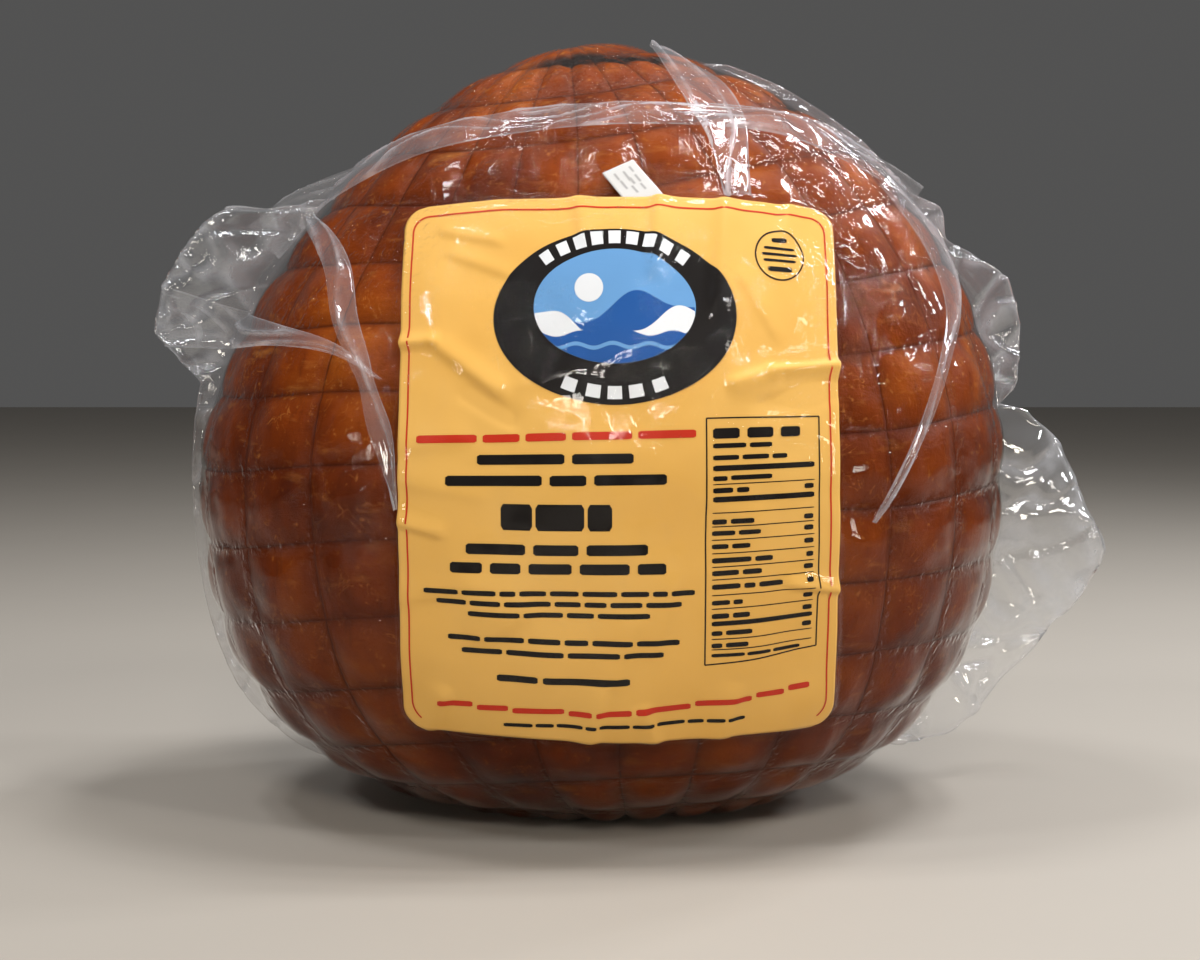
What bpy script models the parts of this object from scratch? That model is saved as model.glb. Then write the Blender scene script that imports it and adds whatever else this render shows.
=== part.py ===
"""A whole boneless smoked ham, net-pressed into squares and sealed in a clear vacuum bag.

Metres, +Z up. The label faces -Y and +X is to the right. The origin is the middle of the
flat spot that the ham stands on.
"""

import math

import bmesh
import bpy
import numpy as np

# The ham as one smooth body, before the net marks
HALF_WIDTH = 0.1172
HALF_DEPTH = 0.100
EQUATOR_HEIGHT = 0.097
CROWN_RISE = 0.1245
BASE_DROP = 0.1006
PLAN_POWER = 2.1
CROWN_POWER = 1.74
CROWN_POWER_LEAN = 0.17
BASE_POWER = 2.6
SWELL_HEIGHT = 0.0012

# The net: a lattice of strings from pole to pole, leaning a little to the right
NET_COLUMNS = 24
NET_RINGS = 17
NET_LEAN = math.radians(4.0)
NET_DEPTH = 0.0017
NET_FADE = 0.35
FACETS_PER_CELL = 3

# The slack film of the bag
FILM_THICKNESS = 0.0014
FILM_ROOT = 0.005
FIN_COLUMNS = 44
FIN_ROWS = 6
BAND_WIDTH = 0.0065
BAND_LIFT = 0.0009
BAND_ROOT = 0.0035
BAND_STEPS = 44
SHORTEST_EDGE = 0.00001

# The label and the date sticker lie between the ham and the film
LABEL_CENTRE_X = 0.005
LABEL_HALF_WIDTH = 0.0558
LABEL_TOP = 0.1715
LABEL_BOTTOM = 0.0325
LABEL_BOW = 0.0025
LABEL_CORNER = 0.006
LABEL_GAP = 0.0010
LABEL_THICKNESS = 0.0006
LABEL_COLUMNS = 16
LABEL_ROWS = 20
STICKER_CENTRE_X = 0.011
STICKER_CENTRE_Z = 0.1725
STICKER_WIDTH = 0.0095
STICKER_LENGTH = 0.024
STICKER_TURN = math.radians(32.0)
STICKER_LEAN = 0.78
STICKER_GAP = 0.0003
STICKER_THICKNESS = 0.0004

# Slack film in the plane of the ham's outline: degrees round the middle, and reach past the ham
LEFT_EAR_REACH = (
    (133, -0.002), (138, 0.006), (141, 0.011), (145, 0.0225), (151, 0.0272), (157, 0.028),
    (163, 0.0252), (165.5, 0.015), (168, 0.0065), (178, 0.004), (198, 0.0042), (212, 0.0055),
    (222, 0.0045), (236, -0.002),
)
RIGHT_EAR_REACH = (
    (7, -0.002), (12, 0.008), (19, 0.013), (25, 0.0138), (29.5, 0.0083), (33.5, 0.004),
    (37.5, 0.0075), (41.5, 0.0036), (52, 0.0040), (62, 0.0038), (72, 0.0028), (79, -0.002),
)
RIGHT_FLAP_REACH = (
    (-48, -0.002), (-43, 0.0135), (-37, 0.0215), (-31, 0.025), (-21, 0.0335), (-14.5, 0.0395),
    (-10, 0.043), (-4.5, 0.0355), (2, 0.029), (6.5, 0.0185), (9, 0.0065), (11, -0.002),
)
# The folded seam of the bag over the front, left to right: x and height
SEAM_PATH = (
    (-0.069, 0.1805), (-0.061, 0.185), (-0.049, 0.189), (-0.027, 0.193), (0.0, 0.1955),
    (0.024, 0.1957), (0.047, 0.1945), (0.060, 0.1915), (0.071, 0.187), (0.080, 0.181),
)

SWELLS = (
    ((2.3, 1.1, -1.7), 0.4),
    ((-1.9, 2.6, 2.2), 1.9),
    ((3.4, -0.7, 3.1), 3.3),
)


def body_radius(direction):
    """Distance from the ham's middle to its smooth skin, for rows of unit directions."""
    x, y, z = direction[:, 0], direction[:, 1], direction[:, 2]
    flat = (np.abs(x / HALF_WIDTH) ** PLAN_POWER + np.abs(y / HALF_DEPTH) ** PLAN_POWER) ** (1 / PLAN_POWER)
    above = z > 0
    rise = np.where(above, CROWN_RISE, BASE_DROP)
    power = np.where(above, CROWN_POWER + CROWN_POWER_LEAN * x, BASE_POWER)
    radius = (flat ** power + np.abs(z / rise) ** power) ** (-1 / power)
    for wave, phase in SWELLS:
        radius = radius + SWELL_HEIGHT / len(SWELLS) * np.sin(direction @ np.array(wave) + phase)
    return radius


def skin_point(direction, lift):
    """Points on the skin along unit directions, raised by lift."""
    point = direction * (body_radius(direction) + lift)[:, None]
    point[:, 2] += EQUATOR_HEIGHT
    return point


def front_direction(x, z):
    """Directions of the front skin's points that have the given x and height."""
    near = np.full(len(x), HALF_DEPTH * 1.2)
    far = np.zeros(len(x))
    for _ in range(40):
        y = (near + far) / 2
        place = np.stack([x, -y, z - EQUATOR_HEIGHT], axis=1)
        length = np.linalg.norm(place, axis=1)
        outside = length > body_radius(place / length[:, None])
        near = np.where(outside, y, near)
        far = np.where(outside, far, y)
    place = np.stack([x, -(near + far) / 2, z - EQUATOR_HEIGHT], axis=1)
    return place / np.linalg.norm(place, axis=1)[:, None]


def net_groove(columns, rings):
    """How far a place is pressed in by the net, from 0 on a pillow to 1 under a string."""
    down = np.maximum(0, np.cos(2 * np.pi * columns))
    across = np.maximum(0, np.cos(2 * np.pi * rings))
    return np.maximum(down, across)


def smooth_reach(angle, reach):
    """Reach of slack film at each angle, eased between the listed angles."""
    angles = np.array([a for a, _ in reach], dtype=float)
    values = np.array([r for _, r in reach])
    index = np.clip(np.searchsorted(angles, angle, side="right") - 1, 0, len(angles) - 2)
    part = np.clip((angle - angles[index]) / (angles[index + 1] - angles[index]), 0, 1)
    eased = (1 - np.cos(np.pi * part)) / 2
    blend = 0.5 * part + 0.5 * eased
    return values[index] * (1 - blend) + values[index + 1] * blend


def new_material(name, colour, roughness, alpha=1.0):
    """A plain Principled material."""
    material = bpy.data.materials.new(name)
    material.use_nodes = True
    shader = material.node_tree.nodes["Principled BSDF"]
    shader.inputs["Base Color"].default_value = (*colour, 1.0)
    shader.inputs["Roughness"].default_value = roughness
    shader.inputs["Metallic"].default_value = 0.0
    shader.inputs["Alpha"].default_value = alpha
    return material


def new_object(name, shape, material, collection):
    """Turn a bmesh into a named object, shaded smooth."""
    mesh = bpy.data.meshes.new(name)
    bmesh.ops.recalc_face_normals(shape, faces=shape.faces)
    shape.to_mesh(mesh)
    shape.free()
    mesh.materials.append(material)
    mesh.shade_smooth()
    thing = bpy.data.objects.new(name, mesh)
    collection.objects.link(thing)
    return thing


def add_thickness(thing, thickness):
    """Give an open sheet its thickness, half on each side."""
    shell = thing.modifiers.new("thickness", "SOLIDIFY")
    shell.thickness = thickness
    shell.offset = 0.0


def vertex_array(shape):
    """The places of a bmesh's vertices, as rows."""
    return np.array([vertex.co[:] for vertex in shape.verts])


def place_vertices(shape, places):
    """Move each vertex to its row's place."""
    for vertex, place in zip(shape.verts, places):
        vertex.co = place


def build_ham(material, collection):
    """The ham with its pressed pillows, flat where it stands."""
    shape = bmesh.new()
    bmesh.ops.create_uvsphere(
        shape,
        u_segments=NET_COLUMNS * FACETS_PER_CELL,
        v_segments=NET_RINGS * FACETS_PER_CELL,
        radius=1.0,
    )
    lattice = vertex_array(shape)
    columns = np.arctan2(lattice[:, 1], lattice[:, 0]) / (2 * np.pi) * NET_COLUMNS
    polar = np.arccos(np.clip(lattice[:, 2], -1, 1))
    fade = np.clip(np.sin(polar) / NET_FADE, 0, 1)
    pressed = NET_DEPTH * fade * net_groove(columns, polar / np.pi * NET_RINGS)

    lean = np.array([
        (math.cos(NET_LEAN), 0, -math.sin(NET_LEAN)),
        (0, 1, 0),
        (math.sin(NET_LEAN), 0, math.cos(NET_LEAN)),
    ])
    places = skin_point(lattice @ lean.T, -pressed)
    places[:, 2] = np.maximum(places[:, 2], 0.0)
    place_vertices(shape, places)

    base = [face for face in shape.faces if all(vertex.co.z < 1e-7 for vertex in face.verts)]
    bmesh.ops.dissolve_faces(shape, faces=base)
    return new_object("bagged_ham", shape, material, collection)


def build_fin(name, reach, depth, drift, waves, material, collection):
    """A wavy sheet of slack film standing off the ham's outline.

    depth is how far behind the middle it leaves the ham, drift how much further back its free
    edge lies, and waves how often it ripples along the edge.
    """
    shape = bmesh.new()
    bmesh.ops.create_grid(shape, x_segments=FIN_COLUMNS, y_segments=FIN_ROWS, size=0.5)
    grid = vertex_array(shape)
    along = grid[:, 0] + 0.5
    out = grid[:, 1] + 0.5

    first, last = reach[0][0], reach[-1][0]
    angle = first + (last - first) * along
    turn = np.radians(angle)
    off_plane = math.asin(depth / HALF_WIDTH)
    direction = np.stack([
        np.cos(turn) * math.cos(off_plane),
        np.full(len(turn), math.sin(off_plane)),
        np.sin(turn) * math.cos(off_plane),
    ], axis=1)
    extent = smooth_reach(angle, reach)
    lift = out * (extent + FILM_ROOT) - FILM_ROOT
    places = skin_point(direction, np.full(len(turn), 0.0))
    outward = np.stack([np.cos(turn), np.zeros(len(turn)), np.sin(turn)], axis=1)
    places += outward * lift[:, None]
    ripple = 0.16 * np.maximum(extent, 0) * np.sin(2 * np.pi * waves * along + 3.0 * out)
    places[:, 1] += out * (drift * np.maximum(extent, 0) / max(r for _, r in reach) + ripple)
    place_vertices(shape, places)
    fin = new_object(name, shape, material, collection)
    add_thickness(fin, FILM_THICKNESS)
    return fin


def seam_points(steps):
    """Smooth x and height along the folded seam."""
    knots = np.array(SEAM_PATH)
    at = np.arange(len(knots))
    fine = np.linspace(0, len(knots) - 1, steps + 1)
    return np.interp(fine, at, knots[:, 0]), np.interp(fine, at, knots[:, 1])


def build_seam(material, collection):
    """The bag's folded seam, a low ridge over the front of the crown, rooted under the net marks."""
    shape = bmesh.new()
    bmesh.ops.create_grid(shape, x_segments=BAND_STEPS, y_segments=2, size=0.5)
    grid = vertex_array(shape)
    x, z = seam_points(BAND_STEPS)
    step = np.rint((grid[:, 0] + 0.5) * BAND_STEPS).astype(int)
    direction = front_direction(x[step], z[step] + grid[:, 1] * BAND_WIDTH)
    middle = (BAND_LIFT - BAND_ROOT) / 2
    place_vertices(shape, skin_point(direction, np.full(len(grid), middle)))
    band = new_object("seam", shape, material, collection)
    add_thickness(band, BAND_LIFT + BAND_ROOT)
    return band


def fuse(body, film):
    """Join the slack film to the body with one union, then drop the loose pieces."""
    union = body.modifiers.new("fuse_film", "BOOLEAN")
    union.operation = "UNION"
    union.operand_type = "COLLECTION"
    union.collection = film
    union.solver = "EXACT"
    with bpy.context.temp_override(object=body, active_object=body, selected_objects=[body]):
        bpy.ops.object.modifier_apply(modifier=union.name)
    for piece in list(film.objects):
        bpy.data.objects.remove(piece, do_unlink=True)

    # Where the film's edge passes close by a corner of the ham, the union leaves very short edges
    shape = bmesh.new()
    shape.from_mesh(body.data)
    bmesh.ops.dissolve_degenerate(shape, dist=SHORTEST_EDGE, edges=shape.edges)
    bmesh.ops.triangulate(shape, faces=shape.faces)
    shape.to_mesh(body.data)
    shape.free()


def build_label(material, collection):
    """The label: a thin paper sheet with round corners, bent over the front of the ham."""
    shape = bmesh.new()
    bmesh.ops.create_grid(shape, x_segments=LABEL_COLUMNS, y_segments=LABEL_ROWS, size=1.0)
    grid = vertex_array(shape)
    # Rows and columns lie closer together at the edges, where the corners turn
    across = np.sin(grid[:, 0] * np.pi / 2)
    up = np.sin(grid[:, 1] * np.pi / 2)
    half_height = (LABEL_TOP - LABEL_BOTTOM) / 2
    from_edge = np.minimum((1 - np.abs(up)) * half_height, LABEL_CORNER)
    inset = LABEL_CORNER - np.sqrt(LABEL_CORNER ** 2 - (LABEL_CORNER - from_edge) ** 2)
    x = LABEL_CENTRE_X + across * (LABEL_HALF_WIDTH - inset)
    z = (LABEL_TOP + LABEL_BOTTOM) / 2 + up * (half_height - LABEL_BOW * across ** 2)
    lift = np.full(len(x), LABEL_GAP + LABEL_THICKNESS / 2)
    place_vertices(shape, skin_point(front_direction(x, z), lift))
    label = new_object("front_label", shape, material, collection)
    add_thickness(label, LABEL_THICKNESS)
    return label


def build_sticker(material, collection):
    """The small date sticker, turned on the skin and tucked under the label's top edge."""
    shape = bmesh.new()
    bmesh.ops.create_grid(shape, x_segments=4, y_segments=8, size=0.5)
    grid = vertex_array(shape)
    wide = grid[:, 0] * STICKER_WIDTH
    tall = grid[:, 1] * STICKER_LENGTH
    x = STICKER_CENTRE_X + wide * math.cos(STICKER_TURN) + tall * math.sin(STICKER_TURN)
    # The skin leans back here, so a length along it spans less height
    rise = wide * math.sin(STICKER_TURN) - tall * math.cos(STICKER_TURN)
    z = STICKER_CENTRE_Z + STICKER_LEAN * rise
    lift = np.full(len(x), STICKER_GAP + STICKER_THICKNESS / 2)
    place_vertices(shape, skin_point(front_direction(x, z), lift))
    sticker = new_object("date_sticker", shape, material, collection)
    add_thickness(sticker, STICKER_THICKNESS)
    return sticker


def main():
    """Clear the scene and build the bagged ham, its label and its sticker."""
    for thing in list(bpy.data.objects):
        bpy.data.objects.remove(thing, do_unlink=True)

    parts = bpy.data.collections.new("bagged_smoked_ham")
    film = bpy.data.collections.new("slack_film")
    bpy.context.scene.collection.children.link(parts)
    bpy.context.scene.collection.children.link(film)

    ham_skin = new_material("smoked_ham", (0.22, 0.05, 0.012), 0.35)
    clear_film = new_material("clear_film", (0.85, 0.85, 0.85), 0.1, alpha=0.35)
    label_paper = new_material("label_paper", (0.84, 0.52, 0.14), 0.5)
    sticker_paper = new_material("sticker_paper", (0.85, 0.85, 0.83), 0.55)

    ham = build_ham(ham_skin, parts)
    build_fin("left_ear", LEFT_EAR_REACH, 0.002, -0.006, 3.0, clear_film, film)
    build_fin("right_ear", RIGHT_EAR_REACH, 0.004, -0.004, 5.0, clear_film, film)
    build_fin("right_flap", RIGHT_FLAP_REACH, 0.024, 0.014, 2.0, clear_film, film)
    build_seam(clear_film, film)
    fuse(ham, film)
    build_label(label_paper, parts)
    build_sticker(sticker_paper, parts)


main()
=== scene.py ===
"""Looks of a whole smoked ham, pressed into squares by its net and sealed in a clear bag.

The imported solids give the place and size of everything. The classes here model the meat, the
film that clings to it, the slack film round it, the printed label and the date sticker. Lengths
are in metres, except in the label's creases and print, where they are in millimetres from the
label's middle.
"""

import logging
import math
from dataclasses import dataclass, field
from enum import Enum
from typing import Iterable, Sequence

import bpy
import numpy as np
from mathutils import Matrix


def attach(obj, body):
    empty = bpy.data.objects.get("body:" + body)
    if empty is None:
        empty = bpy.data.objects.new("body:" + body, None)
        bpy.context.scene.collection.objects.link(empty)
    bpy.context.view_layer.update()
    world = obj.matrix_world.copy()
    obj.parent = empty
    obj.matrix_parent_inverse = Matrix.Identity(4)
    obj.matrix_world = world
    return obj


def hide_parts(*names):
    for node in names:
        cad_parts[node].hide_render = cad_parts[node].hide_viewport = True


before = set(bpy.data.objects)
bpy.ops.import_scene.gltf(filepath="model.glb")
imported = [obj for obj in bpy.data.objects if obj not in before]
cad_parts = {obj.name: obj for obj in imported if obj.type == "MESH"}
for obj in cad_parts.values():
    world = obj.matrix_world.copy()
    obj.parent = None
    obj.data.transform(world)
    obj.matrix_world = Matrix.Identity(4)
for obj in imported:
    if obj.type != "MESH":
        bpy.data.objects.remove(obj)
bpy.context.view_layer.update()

Array = np.ndarray
Colour = tuple[float, float, float]
Pair = tuple[float, float]
Triple = tuple[float, float, float]
Knots = Sequence[Pair]
Socket = bpy.types.NodeSocket
Value = Socket | float
Tint = Socket | Colour
Sockets = dict[str | int, Value | Sequence[float]]
Marks = dict[str, Array]
MM = 0.001
LOG = logging.getLogger("smoked_ham")


def ease(value: Array) -> Array:
    """Turn 0 to 1 into a smooth step."""
    value = np.clip(value, 0, 1)
    return value * value * (3 - 2 * value)


def smooth_path(knots: Sequence[Sequence[float]], count: int) -> Array:
    """Run a smooth curve through a few knots.

    Args:
        knots: The places that the curve passes, in order.
        count: How many points to return.

    Returns:
        The curve's points, one row each.
    """
    known = np.array(knots, dtype=float)
    padded = np.vstack([2 * known[0] - known[1], known, 2 * known[-1] - known[-2]])
    at = np.linspace(0, len(known) - 1, count)
    index = np.minimum(at.astype(int), len(known) - 2)
    part = (at - index)[:, None]
    before, start, end, after = (padded[index + k] for k in range(4))
    return 0.5 * (
        2 * start
        + (end - before) * part
        + (2 * before - 5 * start + 4 * end - after) * part**2
        + (3 * start - before - 3 * end + after) * part**3
    )


def sideways(path: Array) -> Array:
    """Unit directions to the left of a flat path, one for each of its points."""
    run = np.gradient(path, axis=0)
    return np.stack([-run[:, 1], run[:, 0]], axis=1) / np.linalg.norm(run, axis=1)[:, None]


def sheet_faces(rows: int, columns: int, first: int = 0, closed: bool = False) -> Array:
    """Join a grid of points into four-sided faces.

    Args:
        rows: Rows of points.
        columns: Points in a row.
        first: Number of the grid's first point.
        closed: Whether each row runs round into its own start.

    Returns:
        The corner numbers of each face.
    """
    steps = columns if closed else columns - 1
    row, column = np.meshgrid(np.arange(rows - 1), np.arange(steps), indexing="ij")
    right = (column + 1) % columns
    low, high = row * columns, (row + 1) * columns
    corners = (low + column, low + right, high + right, high + column)
    return np.stack([corner.ravel() for corner in corners], axis=1) + first


def slab_faces(rows: int, columns: int) -> Array:
    """Join two equal grids of points, the front's and then the back's, into a thin closed sheet.

    Args:
        rows: Rows of points in each grid.
        columns: Points in a row.

    Returns:
        The corner numbers of each face.
    """
    count = rows * columns
    grid = np.arange(count).reshape(rows, columns)
    rim = np.concatenate([grid[0, :-1], grid[:-1, -1], grid[-1, :0:-1], grid[:0:-1, 0]])
    after = np.roll(rim, -1)
    edge = np.stack([rim, rim + count, after + count, after], axis=1)
    front = sheet_faces(rows, columns)
    return np.vstack([front, front[:, ::-1] + count, edge])


@dataclass(frozen=True)
class Grain:
    """Smooth random unevenness in space, the same on each run.

    Attributes:
        seed: Which unevenness it is.
        size: Width of one bump, or one width for each axis.
        sharp: Share of the space that raised folds take.
        crest: How steeply a fold rises to its top.
        cells: Bumps along each axis before they repeat.
    """

    seed: int
    size: float | Triple
    sharp: float = 0.25
    crest: float = 1.5
    cells: int = 24

    def at(self, points: Array) -> Array:
        """Unevenness at some places.

        Args:
            points: The places, one row each.

        Returns:
            One value from 0 to 1 for each place.
        """
        table = np.random.default_rng(self.seed).random((self.cells,) * 3)
        place = points / np.array(self.size)
        low = np.floor(place).astype(int)
        part = ease(place - low)
        total = np.zeros(len(points))
        for corner in range(8):
            step = np.array([(corner >> axis) & 1 for axis in range(3)])
            x, y, z = ((low + step) % self.cells).T
            total += np.prod(np.where(step, part, 1 - part), axis=1) * table[x, y, z]
        return total

    def folds(self, points: Array) -> Array:
        """Thin raised lines that wander through space.

        Args:
            points: Places, one row each.

        Returns:
            One value for each place, from 0 between the lines to 1 on top of them.
        """
        near_line = 1 - np.abs(2 * self.at(points) - 1)
        return np.clip((near_line - (1 - self.sharp)) / self.sharp, 0, 1) ** self.crest


@dataclass(frozen=True)
class NetBall:
    """A ball of points that follows the net.

    Attributes:
        direction: Unit directions from the ham's middle, one row for each point.
        faces: The corner numbers of each face.
        columns: The net's column number at each point.
        rings: The net's ring number at each point.
    """

    direction: Array
    faces: Array
    columns: Array
    rings: Array


@dataclass(frozen=True)
class HamForm:
    """The smooth body under the net marks, and the net's lattice on it, as the solids have them.

    The body is a ball with its own width, depth, rise and drop, squared off by powers. A search
    in halving steps finds its front skin.
    """

    half_width: float = 0.1172
    half_depth: float = 0.100
    equator: float = 0.097
    crown_rise: float = 0.1245
    base_drop: float = 0.1006
    plan_power: float = 2.1
    crown_power: float = 1.74
    crown_lean: float = 0.17
    base_power: float = 2.6
    swell: float = 0.0012
    swells: tuple[tuple[Triple, float], ...] = (
        ((2.3, 1.1, -1.7), 0.4), ((-1.9, 2.6, 2.2), 1.9), ((3.4, -0.7, 3.1), 3.3),
    )
    net_columns: int = 24
    net_rings: int = 17
    net_lean: float = math.radians(4.0)
    search_reach: float = 1.2
    halvings: int = 30

    def radius(self, direction: Array) -> Array:
        """Distance from the ham's middle to its smooth skin.

        Args:
            direction: Unit directions, one row each.

        Returns:
            One distance for each direction.
        """
        x, y, z = direction.T
        power = self.plan_power
        flat = (np.abs(x / self.half_width) ** power + np.abs(y / self.half_depth) ** power) ** (1 / power)
        above = z > 0
        rise = np.where(above, self.crown_rise, self.base_drop)
        power = np.where(above, self.crown_power + self.crown_lean * x, self.base_power)
        radius = (flat**power + np.abs(z / rise) ** power) ** (-1 / power)
        for wave, phase in self.swells:
            radius = radius + self.swell / len(self.swells) * np.sin(direction @ np.array(wave) + phase)
        return radius

    def skin(self, direction: Array, lift: Array | float) -> Array:
        """Points on the ham along unit directions.

        Args:
            direction: Unit directions from the ham's middle, one row each.
            lift: How far to raise each point off the smooth skin.

        Returns:
            The points.
        """
        point = direction * (self.radius(direction) + lift)[:, None]
        point[:, 2] += self.equator
        return point

    def front(self, x: Array, z: Array, lift: Array | float) -> Array:
        """Points over the front skin that have the given x and height.

        Args:
            x: Places to the right.
            z: Heights.
            lift: How far to raise each point off the skin.

        Returns:
            The points. A place outside the outline stays in the outline's plane, where it is.
        """
        near = np.full(len(x), self.half_depth * self.search_reach)
        far = np.zeros(len(x))
        for _ in range(self.halvings):
            y = (near + far) / 2
            place = np.stack([x, -y, z - self.equator], axis=1)
            length = np.linalg.norm(place, axis=1)
            outside = length > self.radius(place / length[:, None])
            near = np.where(outside, y, near)
            far = np.where(outside, far, y)
        place = np.stack([x, -(near + far) / 2, z - self.equator], axis=1)
        length = np.linalg.norm(place, axis=1)
        direction = place / length[:, None]
        beyond = np.maximum(length - self.radius(direction), 0)
        return self.skin(direction, beyond + lift)

    def lattice(self, columns: int, rows: int) -> NetBall:
        """Lay a ball of points along the net.

        Args:
            columns: Points round each ring.
            rows: Steps from the crown to the base.

        Returns:
            The ball.
        """
        down, round_it = np.pi * np.arange(1, rows) / rows, 2 * np.pi * np.arange(columns) / columns
        polar, turn = np.meshgrid(down, round_it, indexing="ij")
        polar = np.concatenate([[0.0], polar.ravel(), [np.pi]])
        turn = np.concatenate([[0.0], turn.ravel(), [0.0]])
        ball = np.stack([np.sin(polar) * np.cos(turn), np.sin(polar) * np.sin(turn), np.cos(polar)], axis=1)
        upright, aslant = math.cos(self.net_lean), math.sin(self.net_lean)
        lean = np.array([(upright, 0, -aslant), (0, 1, 0), (aslant, 0, upright)])
        last = len(ball) - 1
        around = np.arange(columns)
        after = (around + 1) % columns
        top = np.stack([np.zeros(columns, int), 1 + around, 1 + after, 1 + after], axis=1)
        low = last - columns
        bottom = np.stack([np.full(columns, last), low + after, low + around, low + around], axis=1)
        middle = sheet_faces(rows - 1, columns, first=1, closed=True)[:, ::-1]
        turns, shares = turn / (2 * np.pi), polar / np.pi
        faces = np.vstack([top, middle, bottom])
        return NetBall(ball @ lean.T, faces, turns * self.net_columns, shares * self.net_rings)


@dataclass(frozen=True)
class NetMarks:
    """How the net presses the ham: soft pillows with a thin line under each string."""

    ham: HamForm
    depth: float = 0.0020
    line_share: float = 0.40
    line_width: float = 0.050
    ring_widening: float = 1.35
    pillow_power: float = 1.6
    wander: float = 0.10
    wander_across: Grain = Grain(11, 0.45)
    wander_along: Grain = Grain(12, 0.40)
    unevenness: float = 0.0007
    meat_swells: Grain = Grain(13, 0.16)
    fade: float = 0.35

    def wandering(self, ball: NetBall) -> tuple[Array, Array]:
        """Let the strings run a little out of line.

        Args:
            ball: Where the strings would run.

        Returns:
            The column and ring number at each point, with the strings' own wander.
        """
        off = self.wander_across.at(ball.direction) - 0.5
        along = self.wander_along.at(ball.direction) - 0.5
        return ball.columns + 2 * self.wander * off, ball.rings + 2 * self.wander * along

    def pillow(self, ball: NetBall) -> Array:
        """Broad dip between the pillows.

        Args:
            ball: The points.

        Returns:
            One value for each point, from 0 on a pillow to 1 on a string.
        """
        dips = []
        for number in self.wandering(ball):
            dips.append((0.5 + 0.5 * np.cos(2 * np.pi * number)) ** self.pillow_power)
        return (1 - (1 - dips[0]) * (1 - dips[1])) * self.faded(ball)

    def line(self, ball: NetBall) -> Array:
        """Thin line pressed by the strings.

        Args:
            ball: The points.

        Returns:
            One value for each point, from 0 beside a line to 1 in it.
        """
        lines = []
        for number, widening in zip(self.wandering(ball), (1.0, self.ring_widening)):
            away = np.abs(number - np.rint(number))
            lines.append(np.exp(-((away / (self.line_width * widening)) ** 2)))
        return np.maximum(*lines) * self.faded(ball)

    def faded(self, ball: NetBall) -> Array:
        """Full depth on the sides, and less where the strings crowd together."""
        return np.clip(np.sin(np.pi * ball.rings / self.ham.net_rings) / self.fade, 0, 1)

    def uneven(self, ball: NetBall) -> Array:
        """Slow rise and fall of the meat from pillow to pillow, none of it outward."""
        return -self.unevenness * self.meat_swells.at(ball.direction)


@dataclass(frozen=True)
class Pattern:
    """Random unevenness in a finish.

    Attributes:
        scale: Bumps to the metre.
        detail: How many finer layers lie over them.
        rough: How strong the finer layers are.
        seen: The part of its range from 0 to 1 that shows.
        share: What that part is stretched to.
        stretch: How much finer it is along each axis.
    """

    scale: float
    detail: float = 2.0
    rough: float = 0.5
    seen: Pair = (0.0, 1.0)
    share: Pair = (0.0, 1.0)
    stretch: Triple = (1.0, 1.0, 1.0)


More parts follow.
